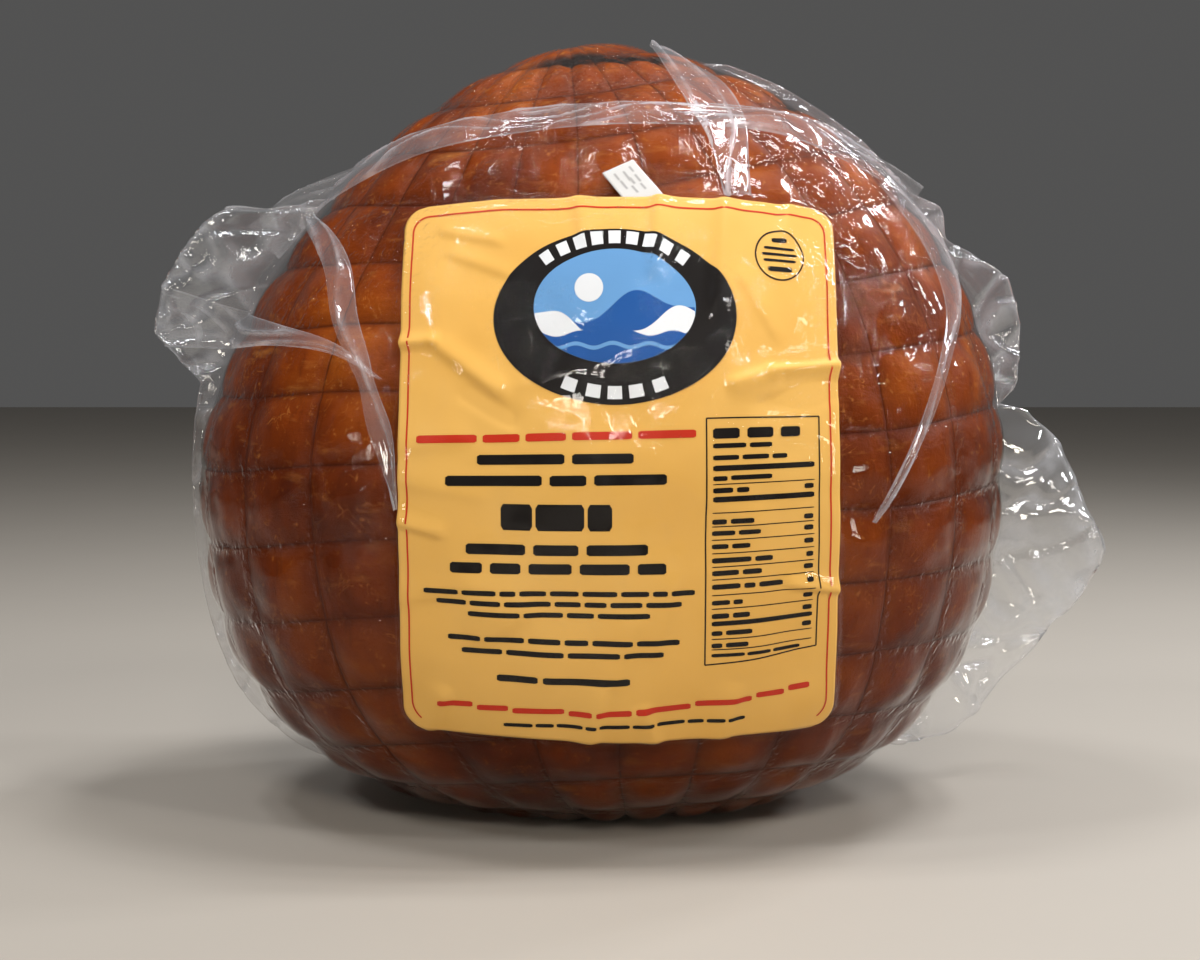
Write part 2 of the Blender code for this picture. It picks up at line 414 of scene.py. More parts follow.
class Bench:
    """Lays out the nodes of one material."""

    def __init__(self, name: str) -> None:
        """Start an empty material.

        Args:
            name: The finish's name.
        """
        self.material = bpy.data.materials.new(name)
        self.material.use_nodes = True
        self.tree = self.material.node_tree
        self.tree.nodes.clear()
        self.output = self.tree.nodes.new("ShaderNodeOutputMaterial")

    def feed(self, socket: Socket, value: Value | Sequence[float]) -> None:
        """Link an output to an input, or set the input's own value.

        Args:
            socket: The input.
            value: An output, or a number or colour.
        """
        if isinstance(value, Socket):
            self.tree.links.new(value, socket)
        else:
            socket.default_value = value

    def node(self, kind: str, sockets: Sockets | None = None, **settings: str) -> bpy.types.Node:
        """Add a node.

        Args:
            kind: The node's type.
            sockets: Values or outputs for its inputs, by name or number.
            **settings: The node's own settings.

        Returns:
            The node.
        """
        made = self.tree.nodes.new(kind)
        for key, value in settings.items():
            setattr(made, key, value)
        for key, value in (sockets or {}).items():
            self.feed(made.inputs[key], value)
        return made

    def place(self) -> Socket:
        """Coordinates that stay with the object, in metres."""
        return self.node("ShaderNodeTexCoord").outputs["Object"]

    def height(self) -> Socket:
        """Height over the floor, in metres."""
        return self.node("ShaderNodeSeparateXYZ", {0: self.place()}).outputs[2]

    def noise(self, pattern: Pattern, bend: float = 0.0) -> Socket:
        """Lay out a pattern.

        Args:
            pattern: Its scale, detail and stretch.
            bend: How far it curls.

        Returns:
            Its whole range, from 0 to 1.
        """
        where = self.place()
        if pattern.stretch != (1.0, 1.0, 1.0):
            stretched = self.node("ShaderNodeMapping", {"Vector": where, "Scale": pattern.stretch})
            where = stretched.outputs["Vector"]
        return self.node("ShaderNodeTexNoise", {
            "Vector": where, "Scale": pattern.scale, "Detail": pattern.detail, "Roughness": pattern.rough,
            "Distortion": bend,
        }).outputs["Fac"]

    def seen(self, pattern: Pattern, value: Socket | None = None) -> Socket:
        """The part of a pattern that shows, of value where it is laid out already."""
        return self.span(value or self.noise(pattern), pattern.seen, pattern.share)

    def ramp(self, value: Socket, stops: Iterable[tuple[float, Colour]]) -> Socket:
        """Colours along a value.

        Args:
            value: The value.
            stops: A position and its colour for each stop.

        Returns:
            The colour at the value.
        """
        made = self.node("ShaderNodeValToRGB", {"Fac": value})
        elements = made.color_ramp.elements
        for index, (position, colour) in enumerate(stops):
            element = elements[index] if index < 2 else elements.new(position)
            element.position = position
            element.color = (*colour, 1.0)
        return made.outputs["Color"]

    def span(self, value: Socket, part: Pair, result: Pair = (0.0, 1.0)) -> Socket:
        """Stretch part of a value's range over another, clamped.

        Args:
            value: The value.
            part: The part of its range.
            result: What the part's two ends become.

        Returns:
            The stretched value.
        """
        ends = dict(zip(("From Min", "From Max", "To Min", "To Max"), (*part, *result)))
        return self.node("ShaderNodeMapRange", {"Value": value, **ends}).outputs["Result"]

    def blend(self, share: Value, first: Tint, second: Tint, mode: str = "MIX") -> Socket:
        """Mix two colours.

        Args:
            share: How much of the second shows.
            first: The colour below.
            second: The colour over it.
            mode: How they mix.

        Returns:
            The mixed colour.
        """
        made = self.node("ShaderNodeMix", data_type="RGBA", blend_type=mode)
        self.feed(made.inputs[0], share)
        for socket, colour in ((made.inputs[6], first), (made.inputs[7], second)):
            self.feed(socket, colour if isinstance(colour, Socket) else (*colour, 1.0))
        return made.outputs[2]

    def maths(self, operation: str, first: Value, second: Value) -> Socket:
        """One sum of two values."""
        return self.node("ShaderNodeMath", {0: first, 1: second}, operation=operation).outputs[0]

    def mark(self, name: str, output: str = "Fac") -> Socket:
        """What the mesh carries at each point under a name."""
        return self.node("ShaderNodeAttribute", attribute_name=name).outputs[output]

    def bump(self, height: Socket, distance: float, strength: float) -> Socket:
        """A normal tilted by a height in metres times distance."""
        sockets = {"Height": height, "Distance": distance, "Strength": strength}
        return self.node("ShaderNodeBump", sockets).outputs["Normal"]

    def mix(self, share: Value, first: bpy.types.Node, second: bpy.types.Node) -> bpy.types.Node:
        """Mix two shaders by share."""
        return self.node("ShaderNodeMixShader", {0: share, 1: first.outputs[0], 2: second.outputs[0]})

    def done(self, shader: bpy.types.Node) -> bpy.types.Material:
        """Put the shader on the surface and hand the material over."""
        self.tree.links.new(shader.outputs[0], self.output.inputs["Surface"])
        return self.material


@dataclass(frozen=True)
class SmokedMeat:
    """Red-brown smoked meat: mottled, with pale fibres, dark net lines and a scorched crown, and painted
    shade in the net's dips and towards the bottom.
    """

    deep: Colour = (0.080, 0.0112, 0.0006)
    middle: Colour = (0.205, 0.0350, 0.0018)
    light: Colour = (0.340, 0.0780, 0.0050)
    fibre: Colour = (0.520, 0.2000, 0.0450)
    line: Colour = (0.050, 0.0075, 0.0010)
    scorch: Colour = (0.012, 0.0060, 0.0040)
    painted_low_shade_tone: Colour = (0.52, 0.46, 0.30)
    painted_low_shade_heights: Pair = (0.055, 0.150)
    mottle_stops: Triple = (0.32, 0.52, 0.72)
    mottle: Pattern = Pattern(26.0, 4.0, 0.6, (0.3, 0.7), (0.50, 0.38))
    strands: Pattern = Pattern(60.0, 5.0, 0.62, (0.58, 0.76), (0.0, 0.45), (1.0, 1.0, 4.0))
    dark_strands: Pattern = Pattern(90.0, 4.0, 0.6, (0.56, 0.75), (0.0, 0.5), (3.0, 3.0, 1.0))
    flecks: Pattern = Pattern(420.0, 2.0, 0.5, (0.66, 0.78), (0.0, 0.5))
    curl: Pattern = Pattern(130.0, 3.0, 0.6)
    curl_bend: float = 1.6
    curl_width: float = 0.012
    curl_share: float = 0.55
    curl_ends: Pattern = Pattern(170.0, 2.0, 0.5, (0.52, 0.60))
    painted_dip_shade_part: Pair = (0.25, 1.0)
    painted_dip_shade_share: Pair = (0.0, 0.45)
    line_width: float = 0.032
    ring_widening: float = 1.4
    line_power: float = 1.5
    line_share: float = 0.8
    line_breaks: Pattern = Pattern(55.0, 3.0, 0.6, (0.30, 0.60), (0.35, 1.0))
    pores: Pattern = Pattern(700.0, 3.0, 0.6)
    strand_relief: float = 1.5
    line_relief: float = 1.6
    relief: float = 0.0003
    relief_strength: float = 0.6
    gloss: float = 0.06

    def curls(self, bench: Bench) -> Socket:
        """Short fine curling fibres.

        Args:
            bench: The meat's material.

        Returns:
            A value from 0 beside the fibres to 1 on them.
        """
        level = bench.maths("SUBTRACT", bench.noise(self.curl, self.curl_bend), 0.5)
        level = bench.maths("ABSOLUTE", level, 0.0)
        thin = bench.span(level, (0.0, self.curl_width), (1.0, 0.0))
        return bench.maths("MULTIPLY", thin, bench.seen(self.curl_ends))

    def string_line(self, bench: Bench) -> Socket:
        """The fine dark line left by the net's strings.

        Args:
            bench: The meat's material.

        Returns:
            A value from 0 beside the line to 1 in it.
        """
        broken = bench.seen(self.line_breaks)
        lines = []
        for name, widening in (("net_column", 1.0), ("net_ring", self.ring_widening)):
            parts = bench.node("ShaderNodeSeparateXYZ", {0: bench.mark(name, "Vector")}).outputs
            away = bench.maths("ABSOLUTE", bench.maths("ARCTAN2", parts[1], parts[0]), 0.0)
            reach = 2 * math.pi * widening * self.line_width
            lines.append(bench.span(away, (0.0, reach), (1.0, 0.0)))
        line = bench.maths("POWER", bench.maths("MAXIMUM", *lines), self.line_power)
        faded = bench.maths("MULTIPLY", line, bench.mark("net_strength"))
        return bench.maths("MULTIPLY", faded, broken)

    def make(self) -> bpy.types.Material:
        """Build the material.

        Returns:
            The material.
        """
        bench = Bench("smoked_meat")
        mottle = bench.noise(self.mottle)
        strands = bench.noise(self.strands)
        string = self.string_line(bench)
        colour = bench.ramp(mottle, zip(self.mottle_stops, (self.deep, self.middle, self.light)))
        colour = bench.blend(bench.seen(self.strands, strands), colour, self.fibre)
        colour = bench.blend(bench.seen(self.dark_strands), colour, self.deep)
        colour = bench.blend(bench.maths("MULTIPLY", self.curls(bench), self.curl_share), colour, self.fibre)
        colour = bench.blend(bench.seen(self.flecks), colour, self.fibre)
        # Painted shade: the meat is blended towards its deep colour where the net presses it into dips and
        # lines.
        pressed = bench.span(bench.mark("pressed"), self.painted_dip_shade_part, self.painted_dip_shade_share)
        colour = bench.blend(pressed, colour, self.deep)
        # Painted shade: the meat is multiplied darker towards the bottom, fading out by the upper of the two
        # heights.
        lower = bench.span(bench.height(), self.painted_low_shade_heights, (1.0, 0.0))
        colour = bench.blend(lower, colour, self.painted_low_shade_tone, "MULTIPLY")
        colour = bench.blend(bench.maths("MULTIPLY", string, self.line_share), colour, self.line)
        colour = bench.blend(bench.mark("scorch"), colour, self.scorch)
        raised = bench.maths("MULTIPLY", strands, self.strand_relief)
        relief = bench.maths("ADD", bench.noise(self.pores), raised)
        relief = bench.maths("SUBTRACT", relief, bench.maths("MULTIPLY", string, self.line_relief))
        return bench.done(bench.node("ShaderNodeBsdfPrincipled", {
            "Base Color": colour,
            "Roughness": bench.seen(self.mottle, mottle),
            "Specular IOR Level": self.gloss,
            "Normal": bench.bump(relief, self.relief, self.relief_strength),
        }))


class FilmWeight(Enum):
    """How much the film veils what lies behind it and how strongly it shines.

    The values are the haze on flat film, the haze on its creases, the share of light mirrored
    face on, and how strongly its fine waves tilt the gloss.
    """

    CLINGING = (0.0, 0.04, 0.014, 0.80)
    SLACK = (0.07, 0.32, 0.060, 0.22)
    FOLDED = (0.16, 0.50, 0.060, 0.22)


@dataclass(frozen=True)
class ClearFilm:
    """Clear glossy bag film with fine creases and a faint veil."""

    weight: FilmWeight
    roughness: float = 0.03
    clear: float = 0.985
    passing: float = 0.95
    veil: Colour = (0.78, 0.80, 0.84)
    backlit_share: float = 0.5
    rim_power: float = 5.0
    fine: Pattern = Pattern(300.0, stretch=(1.5, 1.5, 0.8))
    fine_height: float = 0.06
    broad: Pattern = Pattern(80.0, 1.0, 0.4)
    broad_height: float = 2.3
    clung: Pattern = Pattern(330.0, 4.0, 0.6, (0.47, 0.56))
    clung_patches: Pattern = Pattern(48.0, 1.0, 0.5, (0.42, 0.54))
    clung_part: Pair = (0.10, 0.15)
    clung_height: float = 0.30
    puckers: Pattern = Pattern(380.0, 2.0, 0.5, (0.42, 0.60))
    pucker_height: float = 0.45
    relief: float = 0.0008
    haze_breaks: Pattern = Pattern(150.0, 4.0, 0.6, (0.35, 0.70), (0.25, 1.0))
    haze_part: Pair = (0.05, 0.9)

    def relief_at(self, bench: Bench) -> Socket:
        """The film's fine waves, its clung spots and the puckers along the net's strings.

        Args:
            bench: The film's material.

        Returns:
            Their height.
        """
        fine = bench.maths("MULTIPLY", bench.noise(self.fine), self.fine_height)
        broad = bench.maths("MULTIPLY", bench.noise(self.broad), self.broad_height)
        above = bench.span(bench.height(), self.clung_part, (0.0, self.clung_height))
        patchy = bench.maths("MULTIPLY", bench.seen(self.clung_patches), above)
        clung = bench.maths("MULTIPLY", bench.seen(self.clung), patchy)
        puckered = bench.maths("MULTIPLY", bench.seen(self.puckers), bench.mark("groove"))
        height = bench.maths("ADD", bench.maths("ADD", fine, broad), clung)
        return bench.maths("ADD", height, bench.maths("MULTIPLY", puckered, self.pucker_height))

    def grey(self, share: float) -> tuple[float, float, float, float]:
        """A plain grey of a share of white."""
        return (share, share, share, 1.0)

    def make(self) -> bpy.types.Material:
        """Build the material.

        Returns:
            The material.
        """
        bench = Bench(f"film_{self.weight.name.lower()}")
        flat, creased, mirrored, waves = self.weight.value
        normal = bench.bump(self.relief_at(bench), self.relief, waves)
        facing = bench.node("ShaderNodeLayerWeight", {"Blend": 0.5, "Normal": normal}).outputs["Facing"]
        rim = bench.span(bench.maths("POWER", facing, self.rim_power), (0.0, 1.0), (mirrored, 1.0))
        clear = bench.node("ShaderNodeBsdfTransparent", {"Color": self.grey(self.clear)})
        gloss = bench.node("ShaderNodeBsdfGlossy", {
            "Color": self.grey(1.0), "Roughness": self.roughness, "Normal": normal,
        })
        veil = {"Color": (*self.veil, 1.0), "Normal": normal}
        lit = bench.node("ShaderNodeBsdfDiffuse", veil)
        backlit = bench.node("ShaderNodeBsdfTranslucent", veil)
        crease = bench.maths("MULTIPLY", bench.mark("crease"), bench.seen(self.haze_breaks))
        haze = bench.span(crease, self.haze_part, (flat, creased))
        whole = bench.mix(haze, bench.mix(rim, clear, gloss), bench.mix(self.backlit_share, lit, backlit))
        # Light on its way between lamps and other surfaces meets plain film that dims it a little.
        path = bench.node("ShaderNodeLightPath").outputs
        onward = bench.maths("MAXIMUM", path["Is Diffuse Ray"], path["Is Glossy Ray"])
        onward = bench.maths("MAXIMUM", path["Is Shadow Ray"], onward)
        dimmed = bench.node("ShaderNodeBsdfTransparent", {"Color": self.grey(self.passing)})
        return bench.done(bench.mix(onward, whole, dimmed))


@dataclass(frozen=True)
class CoatedPaper:
    """Printed label paper with a faint fibre and soft toning."""

    name: str
    light: Colour
    dark: Colour
    roughness: float = 0.5
    roughness_swing: float = 0.06
    toning: Pattern = Pattern(14.0, 3.0, 0.55, (0.35, 0.7))
    toning_part: Pair = (0.3, 0.7)
    fibre: Pattern = Pattern(900.0, 2.0, 0.6, (0.62, 0.8), (0.0, 0.12))
    relief: float = 0.00004
    relief_strength: float = 0.5
    gloss: float = 0.12

    def make(self) -> bpy.types.Material:
        """Build the material.

        Returns:
            The material.
        """
        bench = Bench(self.name)
        toning, fibre = bench.noise(self.toning), bench.noise(self.fibre)
        colour = bench.blend(bench.seen(self.toning, toning), self.light, self.dark)
        colour = bench.blend(bench.seen(self.fibre, fibre), colour, self.dark)
        swing = (self.roughness - self.roughness_swing, self.roughness + self.roughness_swing)
        return bench.done(bench.node("ShaderNodeBsdfPrincipled", {
            "Base Color": colour,
            "Roughness": bench.span(toning, self.toning_part, swing),
            "Specular IOR Level": self.gloss,
            "Normal": bench.bump(fibre, self.relief, self.relief_strength),
        }))


class Ink(Enum):
    """The label's printing inks."""

    BLACK = (0.007, 0.005, 0.004)
    RED = (0.560, 0.030, 0.010)
    BLUE = (0.012, 0.090, 0.330)
    SKY = (0.140, 0.340, 0.640)
    WHITE = (0.800, 0.820, 0.840)
    GREY = (0.380, 0.370, 0.360)

    def finish(self, darker: float = 0.85, roughness: float = 0.42) -> CoatedPaper:
        """The ink as a paper finish, a touch uneven like real print."""
        dark = tuple(darker * part for part in self.value)
        return CoatedPaper(f"ink_{self.name.lower()}", self.value, dark, roughness)


def new_piece(
    name: str,
    points: Array,
    faces: Array,
    material: bpy.types.Material,
    marks: Marks | None = None,
) -> bpy.types.Object:
    """Make a smooth mesh piece that rides on the ham.

    Args:
        name: The piece's name.
        points: Places in metres.
        faces: Corner numbers. A repeated last corner makes a triangle.
        material: Its finish.
        marks: Values that the mesh carries at each point, by name.

    Returns:
        The new object.
    """
    mesh = bpy.data.meshes.new(name)
    sides = [tuple(dict.fromkeys(face)) for face in faces.tolist()]
    mesh.from_pydata(points.tolist(), [], sides)
    mesh.validate()
    for key, values in (marks or {}).items():
        kind, held = ("FLOAT", "value") if values.ndim == 1 else ("FLOAT_VECTOR", "vector")
        mark = mesh.attributes.new(key, kind, "POINT")
        mark.data.foreach_set(held, values.astype(np.float32).ravel())
    mesh.materials.append(material)
    mesh.shade_smooth()
    piece = bpy.data.objects.new(name, mesh)
    bpy.context.scene.collection.objects.link(piece)
    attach(piece, "root")
    LOG.info("built %s: %d points, %d faces", name, len(mesh.vertices), len(mesh.polygons))
    return piece


@dataclass(frozen=True)
class Meat:
    """The ham itself, with its pillows, net lines, fibres and scorched gather at the crown."""

    ham: HamForm
    marks: NetMarks
    across_cell: int = 14
    down_cell: int = 15
    fibre_height: float = 0.00022
    fibre_middle: float = 1.3
    fibres: Grain = Grain(22, (0.004, 0.004, 0.0016))
    fine_fibres: Grain = Grain(23, 0.0022)
    fine_share: float = 0.6
    scorch_middle: Pair = (0.002, -0.0225)
    scorch_reach: Pair = (0.030, 0.0055)
    scorch_bow: float = 0.25
    scorch_edge: Grain = Grain(21, 0.006)
    scorch_edge_span: Pair = (0.7, 0.9)
    scorch_fade: Pair = (1.6, 1.2)
    scorch_depth: float = 0.0016
    scorch_crumble: Grain = Grain(24, 0.003)
    floor_gap: float = 0.0006

    def scorched(self, places: Array) -> Array:
        """How burnt the gathered crown is.

        Args:
            places: Points on the skin, one row each.

        Returns:
            One value from 0 to 1 for each point.
        """
        wide, deep = self.scorch_reach
        x = (places[:, 0] - self.scorch_middle[0]) / wide
        y = (places[:, 1] - self.scorch_middle[1] - self.scorch_bow * places[:, 0] ** 2 / wide)
        ragged = self.scorch_edge_span[0] + self.scorch_edge_span[1] * self.scorch_edge.at(places)
        away = np.sqrt(x**2 + (y / deep) ** 2) * ragged
        return ease(self.scorch_fade[0] - self.scorch_fade[1] * away) * (places[:, 2] > self.ham.equator)

    def build(self) -> bpy.types.Object:
        """Build the meat.

        Returns:
            The piece.
        """
        ham, marks = self.ham, self.marks
        ball = ham.lattice(ham.net_columns * self.across_cell, ham.net_rings * self.down_cell)
        pressed = (1 - marks.line_share) * marks.pillow(ball) + marks.line_share * marks.line(ball)
        smooth = ham.skin(ball.direction, 0.0)
        fibres = self.fibres.at(smooth) + self.fine_share * self.fine_fibres.at(smooth)
        scorch = self.scorched(smooth)
        lift = marks.uneven(ball) - marks.depth * pressed
        lift = lift + self.fibre_height * (fibres - self.fibre_middle)
        lift = lift - self.scorch_depth * scorch * self.scorch_crumble.at(smooth)
        places = ham.skin(ball.direction, lift)
        places[:, 2] = np.maximum(places[:, 2], self.floor_gap)
        values = {"pressed": pressed, "scorch": scorch, "net_strength": marks.faded(ball)}
        for name, number in zip(("net_column", "net_ring"), marks.wandering(ball)):
            turn = 2 * np.pi * number
            values[name] = np.stack([np.cos(turn), np.sin(turn), np.zeros(len(turn))], axis=1)
        piece = new_piece("ham_meat", places, ball.faces, SmokedMeat().make(), values)
        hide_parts("bagged_ham")
        return piece


@dataclass(frozen=True)
class Crease:
    """A fold pressed into the label, from one place to another, in millimetres from its middle."""

    start: Pair
    end: Pair
    width: float
    height: float
    taper: float = 0.15
    steep: float = 0.7
    gentle: float = 1.5

    def rise(self, across: Array, up: Array) -> Array:
        """Height of the fold.

        Args:
            across: Places to the right of the label's middle, in metres.
            up: Places above it, in metres.

        Returns:
            One height in metres for each place.
        """
        start, end = np.array(self.start) * MM, np.array(self.end) * MM
        run = end - start
        length = np.linalg.norm(run)
        along = ((across - start[0]) * run[0] + (up - start[1]) * run[1]) / length**2
        side = ((across - start[0]) * run[1] - (up - start[1]) * run[0]) / length
        ends = (along + self.taper, 1 + self.taper - along)
        taper = ease(ends[0] / (2 * self.taper)) * ease(ends[1] / (2 * self.taper))
        slope = np.where(side > 0, self.steep, self.gentle)
        return self.height * MM * taper * np.exp(-((side / (self.width * MM * slope)) ** 2))


@dataclass(frozen=True)
class LabelForm:
    """Where the label lies, and how its paper is creased."""

    ham: HamForm
    centre_x: float = 0.005
    half_width: float = 0.0558
    top: float = 0.1715
    bottom: float = 0.0325
    bow: float = 0.0025
    corner: float = 0.006
    face_lift: float = 0.0015
    waves: Grain = Grain(31, 0.016)
    wave_height: float = 0.0009
    cockles: Grain = Grain(32, 0.006)
    cockle_height: float = 0.00018
    relief: float = 1.5
    relief_limits: Pair = (-0.0005, 0.0024)
    creases: tuple[Crease, ...] = (
        Crease((-57, 33), (-46, 33), 1.6, 0.9),
        Crease((-47, 33), (-29, 19), 2.4, 0.9),
        Crease((-40, 20), (-26, 12), 2.2, -0.5),
        Crease((57, 28), (38, 26), 1.5, 1.0),
        Crease((39, 26), (27, 22), 2.2, 0.8),
        Crease((57, 23), (34, 17), 2.4, -0.5),
        Crease((42, -29), (57, -32), 1.6, 0.8),
        Crease((-57, -13), (-44, -16), 1.8, 0.6),
        Crease((-11, 72), (-9, 58), 2.6, 0.5),
        Crease((10, 72), (8, 50), 2.2, 0.7),
        Crease((27, 72), (24, 40), 2.6, 0.7),
        Crease((45, 72), (42, 60), 2.6, 0.5),
        Crease((-46, 62), (-30, 58), 1.4, 0.35),
        Crease((-44, 56), (-28, 50), 1.6, 0.3),
        Crease((-8, -72), (-4, -54), 2.6, 0.6),
        Crease((10, -72), (6, -60), 2.4, 0.6),
        Crease((26, -72), (30, -56), 2.8, 0.5),
        Crease((-50, -72), (-44, -58), 2.4, 0.5),
        Crease((30, 50), (40, 34), 2.0, 0.3),
        Crease((-56, 6), (-38, 9), 3.0, 0.35),
        Crease((-56, -2), (-34, -6), 3.2, 0.30),
        Crease((-56, -34), (-36, -28), 3.2, 0.35),
        Crease((-36, -44), (-22, -34), 3.4, 0.35),
        Crease((-2, -54), (4, -36), 3.6, 0.40),
        Crease((8, -46), (14, -26), 3.2, 0.30),
        Crease((-26, 22), (-10, 26), 3.4, 0.30),
        Crease((20, -6), (36, -14), 3.2, 0.25),
    )

    @property
    def half_height(self) -> float:
        """Half the label's height."""
        return (self.top - self.bottom) / 2

    @property
    def centre_z(self) -> float:
        """Height of the label's middle."""
        return (self.top + self.bottom) / 2

    def rise(self, across: Array, up: Array) -> Array:
        """Height of the paper's creases and waves.

        Args:
            across: Places to the right of the label's middle, in metres.
            up: Places above it, in metres.

        Returns:
            One height in metres for each place.
        """
        flat = np.stack([across, np.zeros_like(across), up], axis=1)
        total = self.wave_height * (self.waves.at(flat) - 0.5)
        total = total + self.cockle_height * (self.cockles.at(flat) - 0.5)
        for crease in self.creases:
            total = total + crease.rise(across, up)
        return np.clip(self.relief * total, *self.relief_limits)

    def edge_distance(self, across: Array, up: Array) -> Array:
        """Distance inside the label's edge.

        Args:
            across: Places to the right of the label's middle, in metres.
            up: Places above it, in metres.

        Returns:
            One distance for each place, negative outside the edge.
        """
        beside = np.abs(across) - (self.half_width - self.corner)
        above = np.abs(up) - (self.half_height - self.corner)
        outside = np.hypot(np.maximum(beside, 0), np.maximum(above, 0))
        return self.corner - outside - np.minimum(np.maximum(beside, above), 0)

    def place(self, across: Array, up: Array, lift: Array | float) -> Array:
        """Points on the label.

        Args:
            across: Places to the right of the label's middle, in metres.
            up: Places above it, in metres.
            lift: How far to raise each point off the paper's face.

        Returns:
            The points.
        """
        u, v = across / self.half_width, up / self.half_height
        z = self.centre_z + up - self.bow * u**2 * v
        return self.ham.front(self.centre_x + across, z, self.face_lift + self.rise(across, up) + lift)

    def find(self, places: Array) -> tuple[Array, Array]:
        """Where places on the front of the ham lie on the label.

        Args:
            places: Points on the skin, one row each.

        Returns:
            Their distances across and up from the label's middle, in metres.
        """
        across = places[:, 0] - self.centre_x
        up = places[:, 2] - self.centre_z
        up = up / (1 - self.bow / self.half_height * (across / self.half_width) ** 2)
        return across, up


@dataclass(frozen=True)
class LabelPaper:
    """The label's paper: a thin sheet with round corners and soft creases."""

    form: LabelForm
    columns: int = 190
    rows: int = 240
    thickness: float = 0.00025
    paper: CoatedPaper = CoatedPaper("label_paper", (0.790, 0.462, 0.118), (0.720, 0.392, 0.082), 0.48)

    def build(self) -> bpy.types.Object:
        """Build the label's paper.

        Returns:
            The piece.
        """
        form = self.form
        right, above = np.meshgrid(np.linspace(-1, 1, self.columns), np.linspace(-1, 1, self.rows))
        right, above = right.ravel(), above.ravel()
        from_edge = np.minimum((1 - np.abs(above)) * form.half_height, form.corner)
        inset = form.corner - np.sqrt(np.maximum(form.corner**2 - (form.corner - from_edge) ** 2, 0))
        across = right * (form.half_width - inset)
        up = above * form.half_height
        points = np.vstack([form.place(across, up, 0.0), form.place(across, up, -self.thickness)])
        faces = slab_faces(self.rows, self.columns)
        piece = new_piece("label_paper", points, faces, self.paper.make())
        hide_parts("front_label")
        return piece


@dataclass(frozen=True)
class WordLine:
    """One line of word-long bars, in millimetres from the label's middle."""

    middle: float
    length: float
    up: float
    height: float
    words: int
    slope: float = 0.0
    sag: float = 0.0
    gap: float = 0.75


